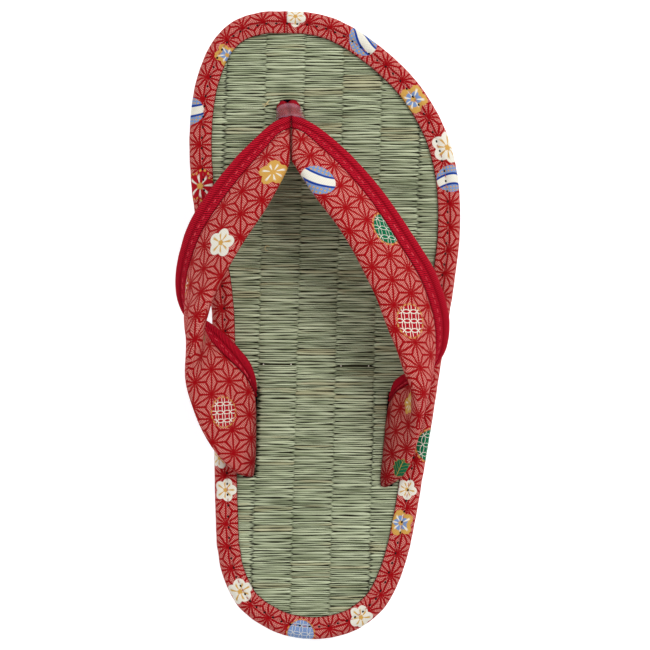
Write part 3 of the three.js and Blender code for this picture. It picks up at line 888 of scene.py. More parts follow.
@dataclass
class StrapBand:
    """One padded band of the V strap, with the piping sewn along its front edge."""

    name: str
    table: tuple
    outer: bool
    spots: tuple[Spot, ...]
    print_shift: tuple[float, float] = (0.0, 0.0)
    print_turn: float = 0.0
    steps: int = 7
    columns: int = 48
    # from the band's edge: cord's radius, groove, flange's edge, then the seam at the V, along
    # the band and at the slot
    cord_radius: float = 1.45
    groove: float = 2.85
    flange_edge: float = 4.3
    seam: tuple[float, float] = (4.6, 5.9)
    seam_end: float = 3.4
    tuck: float = 0.06
    # flange's section: distance from the edge, half height, depth of its shade
    flange: tuple = ((2.62, 0.75, 0.2), (2.74, 0.52, 0.25), (2.85, 0.54, 0.15), (3.05, 0.72, 0),
                     (3.25, 0.72, 0), (3.45, 0.55, 0.1), (3.65, 0.74, 0), (3.95, 0.84, 0),
                     (4.22, 0.66, 0.1), (4.3, 0, 0.7))
    mitre_gap: float = 0.04
    stitch_pitch: float = 2.5
    stitch_line: float = 3.45
    stitch_size: tuple[float, float, float] = (0.26, 0.85, 0.2)
    stitch_lift: float = 0.72
    sewn_from: float = 3.0
    sewn_short: float = 8.0
    raw_seeds: tuple[int, int] = (24, 23)
    raw_from: float = 2.0
    raw_short: float = 9.0
    level_row: float = 3.0
    # padding's section: share of the width, share of half the thickness
    section: tuple = ((0, 0.16), (0.035, 0.4), (0.1, 0.6), (0.26, 0.87), (0.48, 1), (0.7, 0.98),
                      (0.87, 0.78), (0.965, 0.42), (1, 0))
    # creases at the twist: distance along the band, lean across it, depth
    creases: tuple = ((44, 9, 0.18), (51, 12, 0.24), (57, 10, 0.2), (63, 7, 0.14))
    crease_width: float = 1.3
    pucker: float = 0.07
    # slot: radius of its corners, room behind the band, in front of it and at its ends
    slot_corner: float = 1.2
    slot_room: tuple[float, float, float] = (0.05, 0.6, 0.1)
    rows: list[BandRow] = field(default_factory=list)

    def __post_init__(self) -> None:
        """Lofts the table's rows and unrolls them flat."""
        spans = len(self.table) - 1
        p_line = SmoothLine([r[0:3] for r in self.table])
        n_line = SmoothLine([r[3:6] for r in self.table])
        for k in range(spans * self.steps + 1):
            u = k / self.steps
            i = min(int(u), spans - 1)
            ends = []
            for line in (p_line, n_line):
                point = line.at(u)
                point.z += FORM.top(point.y)
                ends.append(point)
            self.rows.append(
                BandRow(ends[0], ends[1], mix(self.table[i][6], self.table[i + 1][6], u - i)))
        self.frame_rows()
        self.unroll()

    @property
    def side(self) -> float:
        """Is 1 for the outer band and -1 for the inner one."""
        return 1.0 if self.outer else -1.0

    def frame_rows(self) -> None:
        """Finds each section's directions across the band and out of its show face."""
        rows = self.rows
        for k, row in enumerate(rows):
            a, b = rows[max(k - 2, 0)], rows[min(k + 2, len(rows) - 1)]
            ahead = b.p + b.n - a.p - a.n
            row.across = row.n - row.p
            row.width = row.across.length
            row.across.normalize()
            row.face = row.across.cross(ahead).normalized() * -self.side
            if k:
                last = rows[k - 1]
                row.along = last.along + ((row.p + row.n) / 2 - (last.p + last.n) / 2).length
        if rows[self.steps].face.z < 0:
            for row in rows:
                row.face.negate()
        mitre = Vector((1, 0, 0)).cross(rows[0].across).normalized()
        mitre *= -1 if mitre.z < 0 else 1
        for k in range(self.steps):
            share = ease(0, 0.6, k / self.steps)
            rows[k].face = mitre.lerp(rows[k].face, share).normalized()

    def unroll(self) -> None:
        """Lays the band out flat, with the print's lattice along the shoe at its front.

        The middle line is carried from row to row with the turn that each row makes in the
        band's own face, so a twist doesn't stretch the print.
        """
        rows = self.rows
        turns, middles = [0.0], [Vector((0, 0))]
        for a, b in zip(rows, rows[1:]):
            step = (b.p + b.n - a.p - a.n) / 2
            across = (a.across + b.across).normalized()
            aside = step.dot(across)
            ahead = step - across * aside
            turns.append(turns[-1] + (b.across - a.across).dot(ahead.normalized()))
            angle = (turns[-1] + turns[-2]) / 2
            flat = Vector((math.cos(angle), math.sin(angle)))
            middles.append(middles[-1] + flat * aside + Vector((-flat.y, flat.x)) * ahead.length)
        level = int(self.level_row * self.steps)
        row, turn = rows[level], turns[level]
        ahead = row.face.cross(row.across) * self.side
        flat = Vector((math.cos(turn), math.sin(turn)))
        along = flat * ahead.x - Vector((-flat.y, flat.x)) * row.across.x
        if (row.across * ahead.x - ahead * row.across.x).y < 0:
            along.negate()
        base = math.pi / 2 - math.atan2(along.y, along.x)
        spin = Matrix.Rotation(math.radians(self.print_turn), 2)
        for row, turn, middle in zip(rows, turns, middles):
            half = Vector((math.cos(base + turn), math.sin(base + turn))) * row.width / 2
            at = Matrix.Rotation(base, 2) @ (middle - middles[level])
            row.flat_p, row.flat_n = (
                spin @ Vector((flat.x * self.side, flat.y)) + Vector(self.print_shift)
                for flat in (at - half, at + half))

    def seam_at(self, row: BandRow) -> float:
        """Gives the distance from the band's edge to the seam beside the piping."""
        left = self.rows[-1].along - row.along
        return mix(mix(*self.seam, ease(0, 12, row.along)), self.seam_end, ease(42, 14, left))

    def fullness(self, row: BandRow) -> float:
        """Is 1 where the band fills its slot, and 0 along the rest of it."""
        return ease(20, 11, self.rows[-1].along - row.along)

    def flange_at(self, row: BandRow, place: float) -> float:
        """Gives the distance from the band's edge of a place on the flange's section."""
        span = self.seam_at(row) - self.tuck - self.groove
        return self.groove + (place - self.groove) * span / (self.flange_edge - self.groove)

    def mitred(self, at: Vector, k: int, rows: float) -> Vector:
        """Moves a point off the middle, where the two bands meet in the mitre."""
        at.x += self.side * self.mitre_gap * (1 - ease(0, rows, k))
        return at

    def row_at(self, share: float) -> tuple[int, BandRow]:
        """Gives the row at a share of the band's length."""
        k = round(share * (len(self.rows) - 1))
        return k, self.rows[k]

    def row_past(self, along: float) -> tuple[BandRow, Vector]:
        """Gives the first row at or past a length along the band, and the way on from it."""
        k = bisect_left(self.rows, along, key=lambda row: row.along)
        return self.rows[k], (self.rows[k + 1].p - self.rows[k - 1].p).normalized()

    def swell(self, row: BandRow, u: float, upper: bool) -> float:
        """Gives the soft rise of the padding at one place, with its puckers and creases."""
        seed = Vector((row.along * 0.11, u * 2.2, 3.0 if upper else 9.0))
        soft = noise.noise(seed) * 0.28 + noise.noise(seed * 2.7) * 0.12
        pucker = math.sin(row.along * 2 * math.pi / self.stitch_pitch) * self.pucker
        pucker *= 1 - ease(0.05, 0.3, u)
        mouth = ease(0, 7, row.along)
        crease = 0.0
        for centre, lean, deep in self.creases:
            off = (row.along - centre - lean * (u - 0.5)) / self.crease_width
            crease -= deep * math.exp(-(off**2)) * ease(0.1, 0.5, u)
        body = math.sin(math.pi * min(max(u, 0.0), 1.0)) ** 0.5
        return (soft * mouth + pucker + crease) * body

    def padding(self) -> BMesh:
        """Builds the padded tube of printed cotton."""
        half = SmoothLine(self.section)
        last, quarter = len(self.section) - 1, self.columns // 4
        shape = [half.at(2 * last * k / self.columns) for k in range(2 * quarter + 1)]

        def ring(across: float) -> tuple[float, float, bool]:
            """Share of the width, share of the thickness, and whether it is the show side."""
            upper = across <= 0.5
            spot = half.at(last * (2 * across if upper else 2 - 2 * across))
            return spot.x, (spot.y if upper else -spot.y), upper

        def place(across: float, along: float) -> Vector:
            """Point of the tube."""
            k, row = self.row_at(along)
            u, t, upper = ring(across)
            rise = self.swell(row, u, upper) * (1 if upper else -1) * min(abs(t) * 2, 1)
            t = math.copysign(abs(t) ** mix(1.0, 0.3, self.fullness(row)), t)
            at = row.p + row.across * mix(self.seam_at(row), row.width, u)
            return self.mitred(at + row.face * (t * row.thickness / 2 + rise), k, 3)

        def shade(across: float, along: float) -> float:
            """Depth of the seam beside the piping, of the mitre at the V, and at the slot, painted
            as shade.
            """
            row = self.row_at(along)[1]
            from_seam = ring(across)[0] * (row.width - self.seam_at(row))
            above = row.p.z - FORM.top(row.p.y)
            return max(0.9 * (1 - ease(0.0, 0.35, from_seam)), 1 - ease(0.0, 1.7, row.along),
                       0.5 * self.fullness(row) * (1 - ease(0.5, 4, above)))

        def flat(across: float, along: float) -> Vector:
            """Place on the unrolled cloth, the same on the back as on the show side."""
            row = self.row_at(along)[1]
            seam = self.seam_at(row)
            span = row.width - seam
            here = round((across if across <= 0.5 else 1 - across) * self.columns)
            a, b = sorted((here, quarter))
            curved = sum(math.hypot((q.x - p.x) * span, (q.y - p.y) * row.thickness / 2)
                         for p, q in zip(shape[a:b], shape[a + 1:b + 1]))
            reach = seam + shape[quarter].x * span + math.copysign(curved, here - quarter)
            return row.flat_p.lerp(row.flat_n, reach / row.width).to_3d()

        bm = wrapped(self.columns, len(self.rows) - 1, place, flat, shade)
        print_motifs(bm, self.spots)
        return bm

    def piping(self) -> BMesh:
        """Builds the twill piping: a round cord and the flat flange that is sewn down."""
        r = self.cord_radius
        shape = []
        for k in range(15):
            a = math.radians(mix(0, 140, k / 14))
            shape.append((r - r * math.cos(a), r * math.sin(a), 0.1 if k == 14 else 0.0))
        shape += self.flange
        whole = [*shape, *((s, -h, deep) for s, h, deep in reversed(shape[1:-1])), shape[0]]
        girth = [0.0]
        for a, b in zip(whole, whole[1:]):
            girth.append(girth[-1] + math.dist(a[:2], b[:2]))

        def index(across: float) -> int:
            """Number of the section's point at a share round it."""
            return round(across * (len(whole) - 1))

        def place(across: float, along: float) -> Vector:
            """Point of the piping."""
            k, row = self.row_at(along)
            s, h, _ = whole[index(across)]
            if 3.0 < s < 4.2:
                h *= 1 + 0.13 * math.cos(row.along * 2 * math.pi / self.stitch_pitch + s)
            if s > 2.6:
                h *= mix(1.0, 1.9, self.fullness(row))
            if s > self.groove:
                s = self.flange_at(row, s)
            wave = noise.noise(Vector((row.along * 0.3, 0, 5))) * 0.12
            at = row.p + row.across * (s + wave * (1 if s < 2.5 else 0)) + row.face * h
            return self.mitred(at, k, 2)

        def flat(across: float, along: float) -> Vector:
            """Place on the unrolled twill."""
            return Vector((girth[index(across)], self.row_at(along)[1].along, 0))

        def shade(across: float, along: float) -> float:
            """Depth of the groove beside the cord and of the flange's edge, painted as shade."""
            return max(whole[index(across)][2],
                       0.8 * (1 - ease(0.0, 1.0, self.row_at(along)[1].along)))

        return wrapped(len(whole) - 1, len(self.rows) - 1, place, flat, shade)

    def stitches(self) -> BMesh:
        """Builds the thread that shows along the piping's flange, above and below."""
        bm = bmesh.new()
        along = self.sewn_from
        while along < self.rows[-1].along - self.sewn_short:
            row, ahead = self.row_past(along)
            line = row.p + row.across * self.flange_at(row, self.stitch_line)
            for lift in (self.stitch_lift, -self.stitch_lift):
                bead(bm, line + row.face * lift, (row.across, ahead, row.face),
                     self.stitch_size)
            along += self.stitch_pitch
        bmesh.ops.recalc_face_normals(bm, faces=bm.faces)
        return bm

    def raw_edge(self) -> BMesh:
        """Builds the pale thread ends that show where the piping's flange meets the cloth."""
        bm = bmesh.new()
        rng = random.Random(self.raw_seeds[self.outer])
        along = self.raw_from
        while along < self.rows[-1].along - self.raw_short:
            row, ahead = self.row_past(along)
            at = row.p + row.across * (self.seam_at(row) + 0.2) + row.face * 0.5
            bead(bm, at, (row.across, ahead, row.face), (0.12, rng.uniform(0.25, 0.55), 0.11),
                 5, 3)
            along += rng.uniform(0.75, 1.2)
        bmesh.ops.recalc_face_normals(bm, faces=bm.faces)
        return bm

    def slot_loop(self) -> Loop:
        """Gives the slot that the band goes down through, seen from above."""
        row = self.table[-1]
        p, n = Vector(row[0:2]), Vector(row[3:5])
        along = (n - p).normalized()
        out = Vector((-along.y, along.x))
        if out.x * self.side < 0:
            out.negate()
        r, half, (behind, before, ends) = self.slot_corner, row[6] / 2, self.slot_room
        low, high, a, b = -half - behind, half + before, -ends, (n - p).length + ends
        loop = []
        for s, h, start in ((a + r, low + r, 180), (b - r, low + r, 270),
                            (b - r, high - r, 0), (a + r, high - r, 90)):
            for k in range(5):
                t = math.radians(start + 22.5 * k)
                corner = p + along * (s + r * math.cos(t)) + out * (h + r * math.sin(t))
                loop.append(tuple(corner))
        return loop

    def build(self, cotton: Material, twill: Material,
              thread: Material, pale: Material) -> list[Object]:
        """Makes the band, its piping, the stitches and the pale thread ends."""
        strap = finished(f"strap_{self.name}", self.padding(), cotton)
        piping = finished(f"piping_{self.name}_edge", self.piping(), twill)
        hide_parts(f"piping_{self.name}")
        sewn = finished(f"piping_{self.name}_stitches", self.stitches(), thread)
        return [strap, piping, sewn,
                finished(f"piping_{self.name}_raw_edge", self.raw_edge(), pale)]


@dataclass
class RushMat:
    """The woven rush face of the insole, on its board."""

    slots: tuple[Loop, ...]
    first_seam: float = -20.0
    seam_pitch: float = 11.75
    lean: float = 0.027
    columns: range = range(-2, 6)
    row_pitch: float = 1.88
    rows_from: float = -94.5
    rows_to: float = 95.0
    rows_a_part: int = 12
    rim_inset: float = 2.0
    overlap: float = 1.1
    rise: float = 0.5
    # at a seam: what is left of a bundle's spread and a stem's girth, and how deep it dips
    pinch: float = 0.4
    taper: float = 0.48
    dip: float = 0.8
    board_drop: float = 1.15
    board_skin: float = 1.6
    spans: int = 8
    seed: int = 11
    least_cut: float = 2.2
    least_stem: float = 0.7
    toe: tuple[float, float] = (-11.1, 65.9)
    toe_push: float = 1.2
    # bundles with a gap beside them: column, place along the shoe
    open_rows: tuple = ((0, -11.9), (2, -12.4))
    gap: float = 0.5
    thread_inset: float = 1.7
    thread_radius: float = 0.22
    # loose fibres: x, y, starting direction and sweep in degrees, radius of the curl
    frays: tuple = ((-16.6, 68.2, 200, 70, 1.6), (-17.2, 67.6, 230, -60, 1.9),
                    (-16.9, 67.0, 185, 50, 2.2), (-16.8, 23.6, 120, 250, 0.75))
    fray_radius: float = 0.12
    # round a stem: share of its half width, share of its rise
    ring: tuple = ((-1, -0.4), (-0.65, 0.6), (0.05, 1.0), (0.7, 0.5), (1, -0.4))

    def stem(self, bm: BMesh, x0: float, x1: float, left: float, right: float,
             y: float, off: float, half: float, tone: float, rng: random.Random) -> None:
        """Lays one stem of a bundle.

        Args:
            bm: The mesh that gets it.
            x0: Where this piece of it starts.
            x1: Where it ends.
            left: Where the whole bundle starts, under the seam on its left.
            right: Where the whole bundle ends.
            y: The middle of the bundle.
            off: How far the stem lies from it where the bundle is widest.
            half: Half the stem's width.
            tone: The bundle's shade of colour, from 0 to 1.
            rng: The source of its small differences.
        """
        tilt, bow = rng.gauss(0, 0.01), rng.gauss(0, 0.07)
        lift, wave = rng.uniform(-0.22, 0.1), rng.uniform(0, 6.3)
        own = tone + rng.gauss(0, 0.1)
        tones, depths = vertex_layer(bm, "tone"), vertex_layer(bm, "depth")
        middle = (left + right) / 2

        def place(around: float, along: float) -> Vector:
            """Point of the stem."""
            x = mix(x0, x1, along)
            end = min(x - left, right - x)
            spread = mix(self.pinch, 1.0, ease(0.2, 2.4, end))
            girth = mix(self.taper, 1.0, ease(0.0, 2.2, end)) * (
                1 + 0.12 * math.sin(x * 0.8 + wave))
            q, h = self.ring[round(around * 5) % 5]
            dip = self.dip * (1 - ease(0.1, 1.8, end))
            at_y = y + off * spread + q * half * girth + tilt * (x - middle)
            at_y = self.parted(x, at_y + bow * math.sin(x * 0.35 + wave))
            return Vector((x, at_y, FORM.top(at_y) - 0.1 - self.rise + lift
                           + h * self.rise * girth - dip))

        for v in drape(bm, 5, self.spans, place):
            v[tones] = own
            # how far below the mat's top, for the painted shade
            v[depths] = ease(0.2, 0.84, FORM.top(v.co.y) - v.co.z)

    def parted(self, x: float, y: float) -> float:
        """Gives the place along the shoe of a stem that the toe post pushes aside."""
        x0, y0 = self.toe
        aside = self.toe_push * math.exp(-(((x - x0) / 4.2) ** 2) - ((y - y0) / 3.2) ** 2)
        return y + aside * math.tanh((y - y0) / 0.9)

    def stems(self) -> BMesh:
        """Weaves the mat: columns of bundles, each column half a bundle off the next."""
        whole = bmesh.new()
        rng = random.Random(self.seed)
        rim = FORM.loop(self.rim_inset)
        lines = [self.rows_from]
        while lines[-1] < self.rows_to:
            lines.append(lines[-1] + self.row_pitch * rng.uniform(0.88, 1.12))
        halfway = [(a + b) / 2 for a, b in zip(lines, lines[1:])]
        for column in self.columns:
            marks = [y + rng.gauss(0, 0.07) for y in (halfway if column % 2 else lines)]
            gaps = [y - self.gap / 2 for at, y in self.open_rows if at == column]
            for low in gaps:
                nearest = min(range(len(marks)), key=lambda k: abs(marks[k] - low - self.gap / 2))
                marks[nearest] = low
            bundles = list(zip(marks, marks[1:]))
            for first in range(0, len(bundles), self.rows_a_part):
                part = bmesh.new()
                for low, high in bundles[first:first + self.rows_a_part]:
                    low += self.gap if low in gaps else 0.0
                    self.bundle(part, column, low, high, rim, rng)
                mesh = bpy.data.meshes.new("part")
                bmesh.ops.remove_doubles(part, verts=part.verts, dist=1e-3)
                part.to_mesh(mesh)
                part.free()
                whole.from_mesh(mesh)
                bpy.data.meshes.remove(mesh)
        close(whole)
        return whole

    def bundle(self, bm: BMesh, column: int, low: float, high: float, rim: Loop,
               rng: random.Random) -> None:
        """Lays one bundle of a few stems, cut short at the rim and the slots.

        Args:
            bm: The mesh that gets it.
            column: Which column it lies in.
            low: Where its near edge lies along the shoe.
            high: Where its far edge lies.
            rim: The loop that the rush is cut to.
            rng: The source of its small differences.
        """
        middle, half = (low + high) / 2, (high - low) / 2
        left = self.first_seam + self.seam_pitch * column + self.lean * middle
        left, right = left - self.overlap, left + self.seam_pitch + self.overlap
        tone = rng.random()
        widths = [rng.uniform(0.75, 1.3) for _ in range(rng.choice((2, 2, 3, 3, 3)))]
        total, start = sum(widths), 0.0
        for width in widths:
            share = width / total
            off = ((start + share / 2) * 2 - 1) * half
            start += share
            edge = crossings(rim, middle + off)
            if len(edge) < 2:
                continue
            free = [(max(left, edge[0]), min(right, edge[-1]))]
            for slot in self.slots:
                cut = crossings(slot, middle + off)
                if len(cut) > 1 and cut[-1] - cut[0] > self.least_cut:
                    free = [part for a, b in free for part in ((a, min(b, cut[0])),
                                                               (max(a, cut[-1]), b))]
            for a, b in free:
                if b - a > self.least_stem:
                    self.stem(bm, a, b, left, right, middle, off, half * share, tone, rng)

    def threads(self) -> BMesh:
        """Builds the ends of warp thread that show in the two open rows."""
        bm = bmesh.new()
        for column, y in self.open_rows:
            left = self.first_seam + self.seam_pitch * column + self.lean * y
            for x in (left + self.thread_inset, left + self.seam_pitch - self.thread_inset):
                bead(bm, Vector((x, y, FORM.top(y) - 0.25)), Matrix.Identity(3),
                     [self.thread_radius] * 3, 8, 6)
        return bm

    def fibres(self) -> BMesh:
        """Builds the few loose fibres that curl up from the mat."""
        bm = bmesh.new()
        for x, y, start, sweep, radius in self.frays:
            turn = math.radians(start)
            ahead = Vector((math.cos(turn), math.sin(turn), 0))
            aside = Vector((-ahead.y, ahead.x, 0)) * math.copysign(radius, sweep)
            face = ahead.to_track_quat("Z", "Y").to_matrix().to_4x4()
            at = Vector((x, y, FORM.top(y) + 0.25))
            ring = bmesh.ops.create_circle(bm, segments=5, radius=self.fray_radius,
                                           matrix=Matrix.Translation(at) @ face)["verts"]
            rim = list(dict.fromkeys(e for v in ring for e in v.link_edges))
            bmesh.ops.spin(bm, geom=ring + rim, cent=at + aside, axis=(0, 0, 1),
                           dvec=(0, 0, 0.035), angle=math.radians(sweep), steps=12)
        close(bm, 1e-4)
        return bm

    def board(self) -> BMesh:
        """Lowers the top of the insole's solid, so that it is the board under the rush."""
        bm = solid_copy("footbed")
        for v in bm.verts:
            if FORM.top(v.co.y) - v.co.z < self.board_skin:
                v.co.z -= self.board_drop
        return bm

    def build(self, rush: Material, core: Material, warp: Material,
              loose: Material) -> list[Object]:
        """Makes the board, the woven rush, the warp thread and the loose fibres."""
        board = finished("insole_board", self.board(), core, smooth=False)
        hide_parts("footbed")
        mat = finished("rush_weave", self.stems(), rush)
        return [board, mat, finished("warp_thread_ends", self.threads(), warp),
                finished("rush_fibres", self.fibres(), loose)]


@dataclass
class EdgeBinding:
    """The printed cotton wrapped round the rim of the mat and board, and its stitching."""

    spots: tuple[Spot, ...]
    # section of the cloth: inset from the rim, height above the mat's top
    shown: tuple = ((5.5, -4.3), (3, -4.32), (0.9, -4.3), (0.15, -3.3), (0, -1.8), (0.3, -0.3),
                    (1.1, 0.75), (2.3, 1.2), (3.2, 1.1), (3.9, 0.85), (4.6, 1.05), (6.0, 1.0),
                    (6.75, 0.7))
    tucked: tuple = ((6.9, 0.25), (1.3, 0.3), (1.3, -3.5), (5.5, -3.5), (5.5, -4.3))
    stitch_inset: float = 3.9
    stitch_pitch: float = 3.3
    stitch_drift: float = 0.14
    stitch_height: float = 0.85
    stitch_size: tuple[float, float, float] = (0.13, 0.62, 0.1)
    hole_size: tuple[float, float, float] = (0.34, 0.42, 0.2)
    pucker: float = 0.16
    seed: int = 5
    stations: int = 620
    columns_shown: int = 36

    def section(self) -> list[tuple[float, float, float]]:
        """Gives the section's points: inset, height, and distance round the cloth."""
        line = SmoothLine(self.shown)
        last = len(self.shown) - 1
        pts = [tuple(line.at(last * k / self.columns_shown).xy)
               for k in range(self.columns_shown + 1)]
        pts += self.tucked
        found, girth = [], 0.0
        for last_point, point in zip([pts[0], *pts], pts):
            girth += math.dist(last_point, point)
            found.append((*point, girth))
        return found

    def surface(self, inset: float, high: float, along: float) -> Vector:
        """Gives a point of the wrap, with its puckers round the stitches."""
        point, inward = FORM.rim(along)
        on_top = ease(-0.5, 0.6, high)
        beat = math.cos(2 * math.pi * along / self.stitch_pitch)
        valley = math.exp(-(((inset - self.stitch_inset) / 0.75) ** 2))
        puff = noise.noise(Vector((along * 0.16, inset * 0.5, 1.0))) * 0.16
        puff += noise.noise(Vector((along * 0.5, inset * 0.9, 7.0))) * 0.09
        high += on_top * (puff - self.pucker * valley * beat + 0.05 * (1 - valley) * beat)
        inset += noise.noise(Vector((along * 0.3, 4.0, 0.0))) * 0.12
        at = point + inward * inset
        at.z = FORM.top(at.y) + high
        return at

    def wrap(self) -> BMesh:
        """Builds the wrapped cloth."""
        section = self.section()

        def point(across: float) -> tuple[float, float, float]:
            """The section's point at a share round it."""
            return section[round(across * (len(section) - 1))]

        def place(across: float, along: float) -> Vector:
            """Point of the wrap."""
            inset, high, _ = point(across)
            return self.surface(inset, high, along * FORM.girth)

        def flat(across: float, along: float) -> Vector:
            """Place on the flat strip."""
            return Vector((point(across)[2], along * FORM.girth, 0))

        def shade(across: float, along: float) -> float:
            """Depth of the stitched valley and of the edge on the mat, painted as shade."""
            inset, high, _ = point(across)
            valley = math.exp(-(((inset - self.stitch_inset) / 0.42) ** 2)) * ease(0, 0.5, high)
            return max(0.08 * valley, 0.7 * ease(6.5, 6.85, inset) * ease(-1, 0, high))

        bm = wrapped(len(section) - 1, self.stations, place, flat, shade)
        print_motifs(bm, self.spots)
        return bm

    def thread(self, holes: bool) -> BMesh:
        """Builds the stitches, or dark beads of painted shade for the needle holes between them.
        """
        bm = bmesh.new()
        count = round(FORM.girth / self.stitch_pitch)
        rng = random.Random(self.seed)
        start, lift, size = (0.0, 0.04, self.hole_size) if holes else (0.5, 0.06, self.stitch_size)

        def on_seam(along: float, aside: float = 0.0) -> Vector:
            """Point of the stitched line."""
            return self.surface(self.stitch_inset + aside, self.stitch_height, along)

        for k in range(count):
            along = FORM.girth * (k + start) / count
            at = on_seam(along, rng.uniform(-self.stitch_drift, self.stitch_drift))
            ahead = (on_seam(along + 0.4) - on_seam(along - 0.4)).normalized()
            side = ahead.cross(Vector((0, 0, 1))).normalized()
            out = side.cross(ahead)
            bead(bm, at + out * lift, (side, ahead, out), size, 7, 5)
        bmesh.ops.recalc_face_normals(bm, faces=bm.faces)
        return bm

    def build(self, cotton: Material, thread: Material,
              hole: Material) -> list[Object]:
        """Makes the binding and its stitches."""
        cloth = finished("binding_wrap", self.wrap(), cotton)
        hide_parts("edge_binding")
        return [cloth, finished("binding_thread", self.thread(False), thread),
                finished("binding_hole_shade_beads", self.thread(True), hole)]


@dataclass
class ToePost:
    """The twisted twill loop between the toes, and its clear vinyl sleeve."""

    # rows up the post: x, y, height, half width, half depth, lean in degrees
    table: tuple = ((-11.1, 65.8, -6.2, 3.6, 2.4, 0), (-11.1, 65.8, -1.5, 3.7, 2.4, 0),
                    (-11, 65.8, 0.9, 3.6, 2.7, 10), (-10.9, 65.2, 2.1, 3.1, 2.4, 35),
                    (-10.6, 63.8, 3.2, 3.2, 2.1, 60), (-10.3, 62.1, 4.6, 3.7, 2, 75))
    sleeve: tuple[float, float] = (3.3, 4.98)
    sleeve_gap: float = 0.3
    wall: float = 0.6
    cleft: float = 1.0
    cleft_turn: float = 0.12
    steps_round: int = 72
    steps_up: int = 30
    cloth: tuple[float, float] = (20.0, 14.0)
    # hole in the mat: x, y and its half lengths
    hole: tuple[float, float, float, float] = (-11.1, 65.9, 3.3, 1.6)

    def ring_point(self, u: float, angle: float, grow: float, folds: float) -> Vector:
        """Gives a point round the post at a row of its table."""
        rows = self.table
        i = min(int(u), len(rows) - 2)
        x, y, high, wide_by, deep_by, rise = (
            mix(a, b, u - i) for a, b in zip(rows[i], rows[i + 1]))
        wide = Vector((1, 0, 0))
        deep = Vector((0, math.cos(math.radians(rise)), math.sin(math.radians(rise))))
        fold = -folds * self.cleft * math.exp(-((math.cos(angle - self.cleft_turn) / 0.3) ** 2))
        fold -= folds * 0.14 * (1 + math.cos(9 * angle + u)) / 2
        return (Vector((x, y, FORM.top(y) + high))
                + wide * (wide_by + grow + fold) * math.cos(angle)
                + deep * (deep_by + grow + fold) * math.sin(angle))

    def post(self) -> BMesh:
        """Builds the folded cloth of the post."""
        last = len(self.table) - 1

        def place(around: float, along: float) -> Vector:
            """Point of the post."""
            return self.ring_point(last * along, 2 * math.pi * around, 0, 1.0)

        def flat(around: float, along: float) -> Vector:
            """Place on the unrolled twill."""
            return Vector((around * self.cloth[0], along * self.cloth[1], 0))

        def shade(around: float, along: float) -> float:
            """Depth between the two folds, painted as shade."""
            turn = 2 * math.pi * around - self.cleft_turn
            return 0.8 * math.exp(-((math.cos(turn) / 0.2) ** 2))

        return wrapped(self.steps_round, self.steps_up, place, flat, shade)

    def tube(self) -> BMesh:
        """Builds the vinyl sleeve, a thin tube with rounded lips."""
        low, high = self.sleeve
        # place along the table, share of the wall's thickness
        outer = [(low, 0.7), (low + 0.05, 1), (low + 0.5, 1), (high - 0.5, 1),
                 (high - 0.05, 1), (high, 0.7)]
        path = [*outer, (high, 0), (high - 0.5, 0), (low + 0.5, 0), (low, 0), outer[0]]

        def place(around: float, along: float) -> Vector:
            """Point of the sleeve."""
            u, share = path[round(along * (len(path) - 1))]
            return self.ring_point(u, 2 * math.pi * around, self.sleeve_gap + self.wall * share, 0)

        def shade(around: float, along: float) -> float:
            """Is 1 on the cut lips, which get a painted highlight."""
            return 1.0 if path[round(along * (len(path) - 1))][0] in (low, high) else 0.0

        return wrapped(48, len(path) - 1, place, None, shade)

    def hole_loop(self, count: int = 28) -> Loop:
        """Gives the toe hole in the mat."""
        x, y, wide, deep = self.hole
        turns = (2 * math.pi * k / count for k in range(count))
        return [(x + wide * math.cos(t), y + deep * math.sin(t)) for t in turns]

    def build(self, twill: Material,
              vinyl: Material) -> list[Object]:
        """Makes the post and its sleeve."""
        post = finished("toe_post_cloth", self.post(), twill)
        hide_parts("toe_post")
        sleeve = finished("toe_post_vinyl", self.tube(), vinyl)
        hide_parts("toe_post_sleeve")
        return [post, sleeve]


@dataclass
class SoleLayers:
    """The blue sponge wedge and the pale sheet under it."""

    crease: float = 32.0

    def layer(self, node: str, name: str, material: Material) -> Object:
        """Makes a smooth copy of one of the sole's solids."""
        bm = solid_copy(node)
        limit = math.radians(self.crease)
        for edge in bm.edges:
            edge.smooth = not (edge.is_manifold and edge.calc_face_angle(0.0) > limit)
        piece = finished(name, bm, material)
        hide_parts(node)
        return piece

    def build(self, sponge: Material,
              sheet: Material) -> list[Object]:
        """Makes both layers."""
        wedge = self.layer("midsole", "sponge_wedge", sponge)
        under = self.layer("outsole", "sole_sheet_under", sheet)
        return [wedge, under]


